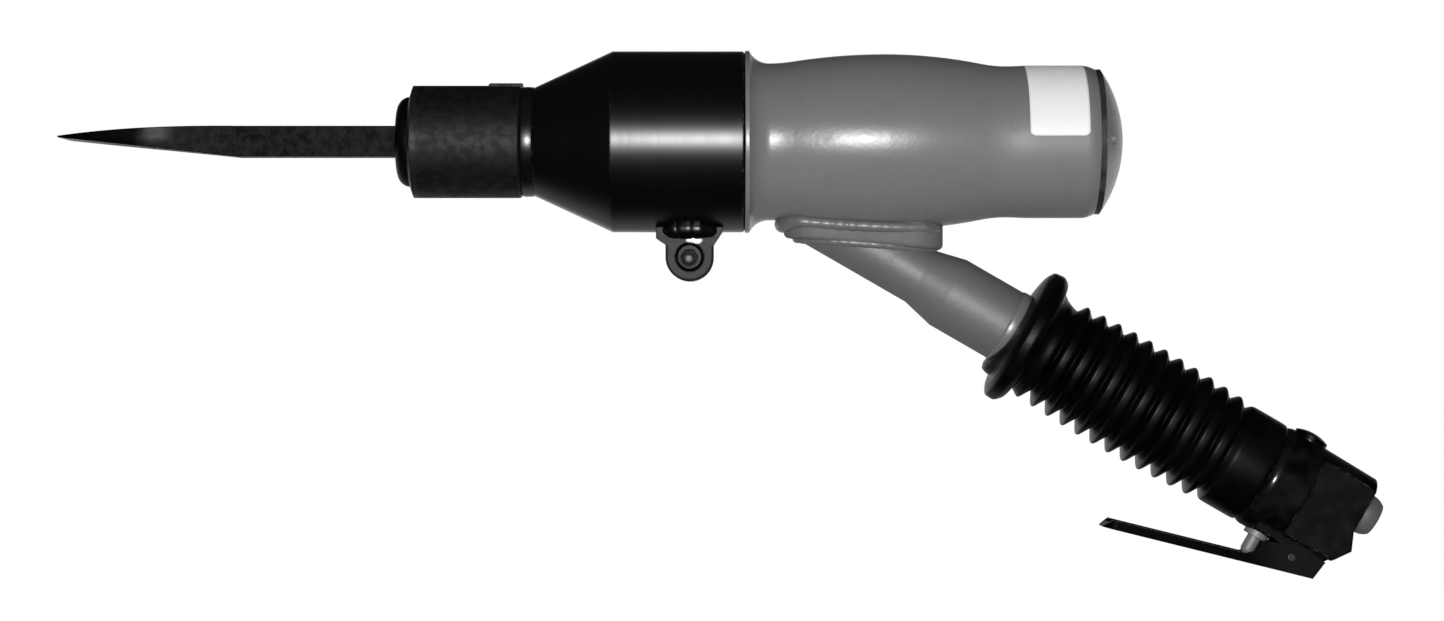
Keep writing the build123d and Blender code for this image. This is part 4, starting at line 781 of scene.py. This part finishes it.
# %% The three profiles
PIPE_RADIUS = 13.5
RIB_COUNT = 12
RIB_PITCH = 6.33
RIBS_START = 25.4
CREST_RADIUS = 19.9
CREST_SWELL = 1.4
CUFF = np.array([[103.4, 19.0], [104.4, 19.4], [117.3, 19.4], [118.05, 18.7], [118.05, PIPE_RADIUS]])
FINGER_MOUTH = np.array([
    [12.4, PIPE_RADIUS], [11.9, 15.6], [12.5, 17.6], [14.8, 18.4], [16.2, 18.4],
    [16.7, 22.6], [18.2, 25.3], [21.6, 25.5], [24.0, 23.2], [25.2, 18.0],
])
PALM_MOUTH = np.array([
    [15.2, PIPE_RADIUS], [15.3, 15.0], [15.5, 17.2], [15.8, 19.0], [16.1, 20.6],
    [16.7, 22.8], [18.2, 25.3], [22.0, 25.7], [24.2, 24.2], [25.0, 20.8],
])
FLANGE_RUN_OUT = [[27.2, 19.0], [29.2, 18.1], [31.2, 17.5], [32.2, 17.3]]


def ribs(depth, crest_flat, valley_flat):
    """Two corners for each rib's crest and two for the valley after it. Crests swell to the middle."""
    crest = RIBS_START + RIB_PITCH * (np.arange(RIB_COUNT) + 0.5)
    valley = crest + RIB_PITCH / 2
    gone = (crest - RIBS_START) / (RIB_COUNT * RIB_PITCH)
    swell = CREST_RADIUS + CREST_SWELL * np.sin(np.pi * gone)
    half = np.array([-crest_flat, crest_flat, -valley_flat, valley_flat]) / 2
    along = np.stack([crest, crest, valley, valley], axis=1) + half
    radius = np.stack([swell, swell, swell - depth, swell - depth], axis=1)
    return np.stack([along.ravel(), radius.ravel()], axis=1)


finger_ribs = ribs(depth=4.3, crest_flat=0.8, valley_flat=0.4)
side_ribs = ribs(depth=1.9, crest_flat=3.3, valley_flat=0.4)
palm_ribs = ribs(depth=2.6, crest_flat=0.8, valley_flat=0.8)
palm_ribs[:4] = FLANGE_RUN_OUT
under = np.concatenate([FINGER_MOUTH, finger_ribs, CUFF])
beside = np.concatenate([PALM_MOUTH, side_ribs, CUFF])
over = np.concatenate([PALM_MOUTH, palm_ribs, CUFF])
print("profile points", len(under), "ribs end at", round(finger_ribs[-1, 0], 1), "mm")

# %% Blend and soften them round the pipe
GRIP_ANGLES = 112
FINE = 6
SOFTEN = 2


def soft_loop(corners, fine, passes):
    """Puts fine points on each side of a closed outline, then averages neighbours 1 : 2 : 1."""
    share = (np.arange(fine) / fine)[None, :, None, None]
    after = np.roll(corners, -1, axis=0)
    points = corners[:, None] * (1 - share) + after[:, None] * share
    points = points.reshape(-1, *corners.shape[1:])
    for _ in range(passes):
        points = (np.roll(points, 1, axis=0) + 2 * points + np.roll(points, -1, axis=0)) / 4
    return points


angle = np.linspace(0, 2 * np.pi, GRIP_ANGLES, endpoint=False)
low_share = np.clip(np.cos(angle), 0, 1)[None, :, None] ** 2
high_share = np.clip(-np.cos(angle), 0, 1)[None, :, None] ** 2
side_share = np.sin(angle)[None, :, None] ** 2
outline = low_share * under[:, None] + side_share * beside[:, None] + high_share * over[:, None]
outline = soft_loop(outline, FINE, SOFTEN)
all_angles = np.broadcast_to(angle, outline.shape[:2])
grip_points = around_pipe(outline[..., 0], outline[..., 1], all_angles)
grip = grid_piece("grip_rubber", grip_points, "grip_rubber", wrap_rows=True)
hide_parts("grip")

# %% [markdown]
# ## The rubber ring behind the sleeve
# This ring holds the key's tail down. Moulded rubber has no sharp corner anywhere, so it gets a
# mesh of its own too: one rounded outline, turned about the line of strike. Its back is a shallow
# arch. The flatter an arch, the wider the highlight on it, and this one is as flat as the round
# highlight on it asks for.

# %% Turn the ring's outline
RING_ENDS = (0.0456, 0.0500)
RING_INNER = 0.0176
RING_CREST = (0.0476, 0.0198)
RING_LIP = 0.0190
ARCH_RADIUS = 0.013
ARCH_INSET = 0.0004
ARCH_POINTS = 9
RING_ANGLES = 128
arch_x = np.linspace(RING_ENDS[0] + ARCH_INSET, RING_ENDS[1], ARCH_POINTS)
arch_height = RING_CREST[1] - (arch_x - RING_CREST[0]) ** 2 / (2 * ARCH_RADIUS)
arch = np.stack([arch_x, arch_height], axis=1)
back = np.array([[RING_ENDS[1], RING_INNER], [RING_ENDS[0], RING_INNER], [RING_ENDS[0], RING_LIP]])
ring_line = soft_loop(np.concatenate([arch, back])[:, None], FINE, SOFTEN)
round_ring = np.linspace(0, 2 * np.pi, RING_ANGLES, endpoint=False)
ring_radius = ring_line[..., 1]
ring_x = ring_line[..., 0] + 0 * round_ring
ring_y = -ring_radius * np.cos(round_ring)
ring_z = ring_radius * np.sin(round_ring)
ring_points = np.stack([ring_x, ring_y, ring_z], axis=-1)
ring_finish = own_finish["key_ring"]
rubber_ring = grid_piece("rubber_ring", ring_points, "black_rubber", ring_finish, wrap_rows=True)
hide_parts("key_ring")

# %% [markdown]
# ## Weld beads
# The saddle is welded to the casing, the pipe to the saddle and the ears to the tube. A weld bead
# is a row of frozen puddles, each one overlapping the last. A tube swept along the joint, fatter at
# every puddle, gives that without modelling each one. The joint's line comes from a formula,
# because only simple shapes meet there.

# %% A tube along a closed joint
PUDDLE = 0.0045
PUDDLE_CROWN = 0.7
SLOW_WAVES = ((0.35, 5, 0), (0.25, 11, 1))
BEAD_SIDES = 20


def swept_bead(path, outward, radius, ripple, flat=1.0):
    """A ring of points round each path point, square to the path and starting on its outward side.

    The ring's radius swells by the ripple once in every puddle along the path, and two slow waves
    along the path make the puddles longer and shorter, as a hand does. A flat bead is that many
    times wider than it is high.
    """
    ahead = np.roll(path, -1, axis=0) - np.roll(path, 1, axis=0)
    stride = np.linalg.norm(np.roll(path, -1, axis=0) - path, axis=1)
    ahead /= np.linalg.norm(ahead, axis=1, keepdims=True)
    outward = outward - ahead * np.sum(outward * ahead, axis=1, keepdims=True)
    outward /= np.linalg.norm(outward, axis=1, keepdims=True)
    side = np.cross(ahead, outward)
    whole = np.sum(stride)
    puddles = np.round(whole / PUDDLE)
    gone = 2 * np.pi * np.concatenate([[0.0], np.cumsum(stride)[:-1]]) / whole
    hand = sum(high * np.sin(count * gone + shift) for high, count, shift in SLOW_WAVES)
    crown = np.abs(np.sin(puddles * gone / 2 + hand)) ** PUDDLE_CROWN
    size = radius * (1 - ripple + 2 * ripple * crown)
    ring = np.linspace(0, 2 * np.pi, BEAD_SIDES, endpoint=False)[None, :, None]
    turned = np.cos(ring) * outward[:, None] - flat * np.sin(ring) * side[:, None]
    return path[:, None] + size[:, None, None] * turned


print("one puddle each", PUDDLE * 1000, "mm")

# %% [markdown]
# ## The saddle's weld
# The saddle is a pad with rounded ends that is welded to the casing all round. Where the two meet
# could be found with a Boolean, but it has a formula too: the pad's outline seen from below, and at
# each of its points the height at which the casing's surface lies.

# %% The casing's own outline
NECK = (0.1342, 0.0282)
HOLLOW_ARC = 0.0533
HOLLOW_END = 0.1426
FULLEST = (0.1760, 0.0315)
FRONT_ARC = 0.2131
REAR_ARC = 0.1733


def casing_radius(x):
    """The barrel's radius: a hollow arc up from the neck, then a long arc each side of FULLEST."""
    from_neck = np.clip(x - NECK[0], 0, HOLLOW_ARC)
    hollow = NECK[1] + HOLLOW_ARC - np.sqrt(HOLLOW_ARC ** 2 - from_neck ** 2)
    from_fullest = (x - FULLEST[0]) ** 2
    front = FULLEST[1] - FRONT_ARC + np.sqrt(FRONT_ARC ** 2 - from_fullest)
    rear = FULLEST[1] - REAR_ARC + np.sqrt(REAR_ARC ** 2 - from_fullest)
    return np.where(x < HOLLOW_END, hollow, np.where(x < FULLEST[0], front, rear))


print("casing's fullest radius", 1000 * FULLEST[1], "mm")

# %% Where the saddle meets the casing
SADDLE_MIDDLE = 0.1682
SADDLE_STRAIGHT = 0.01655
SADDLE_HALF = 0.01205
SADDLE_CORNER = 1.9
REAR_SETBACK = 0.0021
FRONT_LEAD = 0.0003
BEAD_RADIUS = 0.0019
FRONT_SWELL = 0.0011
BEAD_DROP = 0.0016
REAR_DROP = 0.0004
DOWNWARDS = -0.6
RIPPLE = (0.02, 0.12)
RIPPLE_MIDDLE = 0.161
RIPPLE_REACH = 0.008
SADDLE_STEPS = 480
way = np.linspace(0, 2 * np.pi, SADDLE_STEPS, endpoint=False)
straight = SADDLE_STRAIGHT + np.where(np.cos(way) > 0, -REAR_SETBACK, FRONT_LEAD)
along_side = straight * np.clip(SADDLE_CORNER * np.cos(way), -1, 1)
plan_x = SADDLE_MIDDLE + along_side + SADDLE_HALF * np.cos(way)
plan_y = SADDLE_HALF * np.sin(way)
drop = BEAD_DROP + REAR_DROP * np.cos(way)
plan_z = -np.sqrt(casing_radius(plan_x) ** 2 - plan_y ** 2) - drop
joint = np.stack([plan_x, plan_y, plan_z], axis=1)
facing = np.stack([np.cos(way), np.sin(way), np.full_like(way, DOWNWARDS)], axis=1)
ripple = RIPPLE[0] + RIPPLE[1] * np.exp(-(((plan_x - RIPPLE_MIDDLE) / RIPPLE_REACH) ** 2))
fat = BEAD_RADIUS + FRONT_SWELL * np.clip(-np.cos(way), 0, 1) ** 2
saddle_weld = swept_bead(joint, facing, fat, ripple)
grid_piece("saddle_weld", saddle_weld, "satin_grey_paint", weld_enamel, wrap_rows=True)

# %% [markdown]
# ## The pipe's weld
# The pipe's thin end meets the saddle's flat underside at a slant, so the joint is an ellipse. Each
# line along the pipe's wall is followed to the saddle's plane, which takes one division and no
# Boolean.

# %% Where the pipe meets the saddle
STRUT_RADIUS = 0.01065
STRUT_STEPS = 360
SADDLE_FRONT = np.array([0.1396, 0.0, -0.0345])
SADDLE_REAR = np.array([0.1968, 0.0, -0.0391])
saddle_line = SADDLE_REAR - SADDLE_FRONT
saddle_up = np.array([-saddle_line[2], 0.0, saddle_line[0]]) / np.linalg.norm(saddle_line)
turn = np.linspace(0, 2 * np.pi, STRUT_STEPS, endpoint=False)
out = np.cos(turn)[:, None] * TO_LEVER + np.sin(turn)[:, None] * ACROSS
rim = HANDLE_START + STRUT_RADIUS * out
reach = ((SADDLE_FRONT - rim) @ saddle_up) / (DOWN_PIPE @ saddle_up)
joint = rim + reach[:, None] * DOWN_PIPE
strut_weld = swept_bead(joint, out, radius=0.0014, ripple=0.06)
grid_piece("strut_weld", strut_weld, "satin_grey_paint", weld_enamel, wrap_rows=True)

# %% [markdown]
# ## The ears' welds
# Each ear stands on the tube in a weld of its own, under the tube's black paint. An oval about the
# ear's foot, dropped on to the round tube, is near enough to the joint, because the bead covers it.
# Most of the metal went on outside, as there is little room between the ears.

# %% Where the ears meet the tube
EAR_HALF = 0.0088
EAR_MIDDLE = 0.0064
EAR_DEEP = 0.0038
EAR_DOWNWARDS = -0.5
EAR_BEAD = (0.0010, 0.0037)
TUBE_RADIUS = 0.0325
TUBE_CLEAR = 0.0006


def ear_weld(name, side):
    """An oval loop about one ear's foot, dropped on to the tube, and fattest outside the ear."""
    plan_x = EAR_X + EAR_HALF * np.cos(way)
    plan_y = side * (EAR_MIDDLE + EAR_DEEP * np.sin(way))
    plan_z = -np.sqrt(TUBE_RADIUS ** 2 - plan_y ** 2) - TUBE_CLEAR
    loop = np.stack([plan_x, plan_y, plan_z], axis=1)
    facing = np.stack([np.cos(way), side * np.sin(way), np.full_like(way, EAR_DOWNWARDS)], axis=1)
    fat = EAR_BEAD[0] + (EAR_BEAD[1] - EAR_BEAD[0]) * (0.5 + 0.5 * np.sin(way))
    bead = swept_bead(loop, facing, fat, ripple=0.05)
    grid_piece(name, bead[::side], "gloss_black_paint", wrap_rows=True)


ear_weld("near_ear_weld", -1)
ear_weld("far_ear_weld", 1)

# %% [markdown]
# ## The bead of paint at the grip's mouth
# Where the grip was pushed on, enamel gathered on the pipe in a low, shiny ridge. It is far flatter
# than a weld, so the same swept tube serves, without puddles and four times as wide as it is high.

# %% The bead of paint at the grip's mouth
BEAD_ALONG = 13.6
BEAD_ON_PIPE = 13.45
bead_path = around_pipe(np.full_like(turn, BEAD_ALONG), np.full_like(turn, BEAD_ON_PIPE), turn)
mouth_bead = swept_bead(bead_path, out, radius=0.00045, ripple=0.0, flat=4.0)
grid_piece("mouth_bead", mouth_bead, "satin_grey_paint", wet_enamel, wrap_rows=True)

# %% [markdown]
# ## Three springs
# Inside, two springs hold the cylinder and a small one shuts the throttle valve. Here each is a wire
# swept along a helix, measured from the solid that it stands for, and the solid is hidden. The
# middle turns are wound wider than the end turns, as they are on real springs.

# %% Measure a solid spring
SIDE = np.array([0.0, 1.0, 0.0])


def spring_measures(node, way):
    """Three directions as rows, the seat's middle, and the coil's radius, wire and length.

    All come from the solid's points. A spring reaches equally far on all sides of its own axis, so
    the axis lies midway between its lowest and highest points. The points' distances from that
    axis go from the radius less half the wire to the radius and half the wire.
    """
    mesh = nodes[node].data
    points = np.empty(3 * len(mesh.vertices), dtype=np.float32)
    mesh.vertices.foreach_get("co", points)
    ways = np.stack([way, SIDE, np.cross(way, SIDE)])
    along = points.reshape(-1, 3).astype(float) @ ways.T
    low, high = along.min(axis=0), along.max(axis=0)
    middle = (low + high) / 2
    out = np.hypot(along[:, 1] - middle[1], along[:, 2] - middle[2])
    seat = np.array([low[0], middle[1], middle[2]]) @ ways
    return ways, seat, (out.max() + out.min()) / 2, out.max() - out.min(), high[0] - low[0]


def close_ends(mesh):
    """Points that lie on each other become one, so that a ring of no size is a single point."""
    work = bmesh.new()
    work.from_mesh(mesh)
    bmesh.ops.remove_doubles(work, verts=work.verts, dist=1e-7)
    work.to_mesh(mesh)
    work.free()


print("springs", [name for name in nodes if "spring" in name])

# %% Wind a wire between its two seats
STEPS_A_TURN = 40
WIRE_SIDES = 14
OPEN_MIDDLE = 0.28


def wound_spring(node, way, turns):
    """A ring of points round a helix, where all that passes a seat is pressed flat on it.

    The helix climbs by a mix of an even pitch and a smooth step, and starts and ends a quarter of
    the wire from its seats. Rings of no size close the wire's ends.
    """
    ways, seat, radius, wire, length = spring_measures(node, way)
    part = np.linspace(0, 1, turns * STEPS_A_TURN + 1)
    climb = part + OPEN_MIDDLE * (part ** 2 * (3 - 2 * part) - part)
    height = wire / 4 + (length - wire / 2) * climb
    swing = 2 * np.pi * turns * part
    out = np.stack([0 * swing, np.cos(swing), np.sin(swing)], axis=-1)
    line = radius * out + np.stack([height, 0 * swing, 0 * swing], axis=-1)
    ahead = np.gradient(line, axis=0)
    ahead /= np.linalg.norm(ahead, axis=1, keepdims=True)
    beside = np.cross(ahead, out)
    ring = np.linspace(0, 2 * np.pi, WIRE_SIDES, endpoint=False)[None, :, None]
    tube = line[:, None] + wire / 2 * (np.cos(ring) * out[:, None] - np.sin(ring) * beside[:, None])
    first, last = [np.repeat(line[end][None, None], WIRE_SIDES, axis=1) for end in (0, -1)]
    tube = np.concatenate([first, tube, last])
    tube[..., 0] = np.clip(tube[..., 0], 0, length)
    spring = grid_piece(node + "_wire", seat + tube @ ways, "spring_steel", body=None)
    close_ends(spring.data)
    tuple(seat + length * way)
    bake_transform(spring)
    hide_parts(node)
    print(node, "wire, radius and length in mm", np.round(1000 * np.array([wire, radius, length]), 2))


TO_REAR = np.array([1.0, 0.0, 0.0])
wound_spring("front_spring", TO_REAR, turns=5)
wound_spring("rear_spring", TO_REAR, turns=4)
wound_spring("valve_spring", -TO_LEVER, turns=6)

# %% [markdown]
# ## The plain sticker
# The rear of the casing carries a plain pale foil sticker, wrapped over the top. A plane with a
# Shrinkwrap modifier would follow the casing too, but a strip of the casing's own surface, lifted a
# hair, can't sink in anywhere. Its corners are rounded: near its ends the strip narrows along a
# quarter circle. A Solidify modifier gives the foil its edge.

# %% The sticker's foil
STICKER_X = (0.2256, 0.2467)
STICKER_ANGLE = (0.026, 1.78)
STICKER_CORNER = 0.0016
LAND_RADIUS = 0.0274
LAND_X = (STICKER_X[0], 0.2280, 0.2462, STICKER_X[1])
LAND_LINE = (0.02737, LAND_RADIUS, LAND_RADIUS, 0.02738)
LIFT = 0.00004
FOIL = 0.00016
FOIL_STEPS = (24, 64)


def pale_foil():
    """A pale grey whose haze and fibres change its tone, and the haze its roughness too."""
    foil = Finish("pale_foil", specular_level=0.4)
    haze = foil.noise(70, 4.0)
    fibre = foil.noise(900, 3.0, (1, 4, 4))
    foil.set(base_color=foil.mix(haze * 0.8 + fibre * 0.2, (0.66, 0.66, 0.65), (0.76, 0.76, 0.755)))
    foil.set(roughness=0.36 + haze * 0.14)
    foil.relief(fibre + haze, 0.00002, 0.0001)
    return foil


across = np.linspace(-1, 1, FOIL_STEPS[0])[:, None]
sweep = np.linspace(0, 1, FOIL_STEPS[1])[None, :]
wrapped = STICKER_ANGLE[1] - STICKER_ANGLE[0]
to_end = np.minimum(sweep, 1 - sweep) * LAND_RADIUS * wrapped
in_corner = np.clip(STICKER_CORNER - to_end, 0, STICKER_CORNER)
nip = STICKER_CORNER - np.sqrt(STICKER_CORNER ** 2 - in_corner ** 2)
half_width = (STICKER_X[1] - STICKER_X[0]) / 2 - nip
x = sum(STICKER_X) / 2 + across * half_width
height = np.interp(x, LAND_X, LAND_LINE) + LIFT
lean = STICKER_ANGLE[0] + sweep * wrapped + 0 * across
strip = np.stack([x, -height * np.cos(lean), height * np.sin(lean)], axis=-1)
sticker = grid_piece("blank_sticker", strip[::-1], finish=pale_foil(), wrap_columns=False)
edge = sticker.modifiers.new("foil", "SOLIDIFY")
edge.thickness = FOIL
edge.offset = 1.0
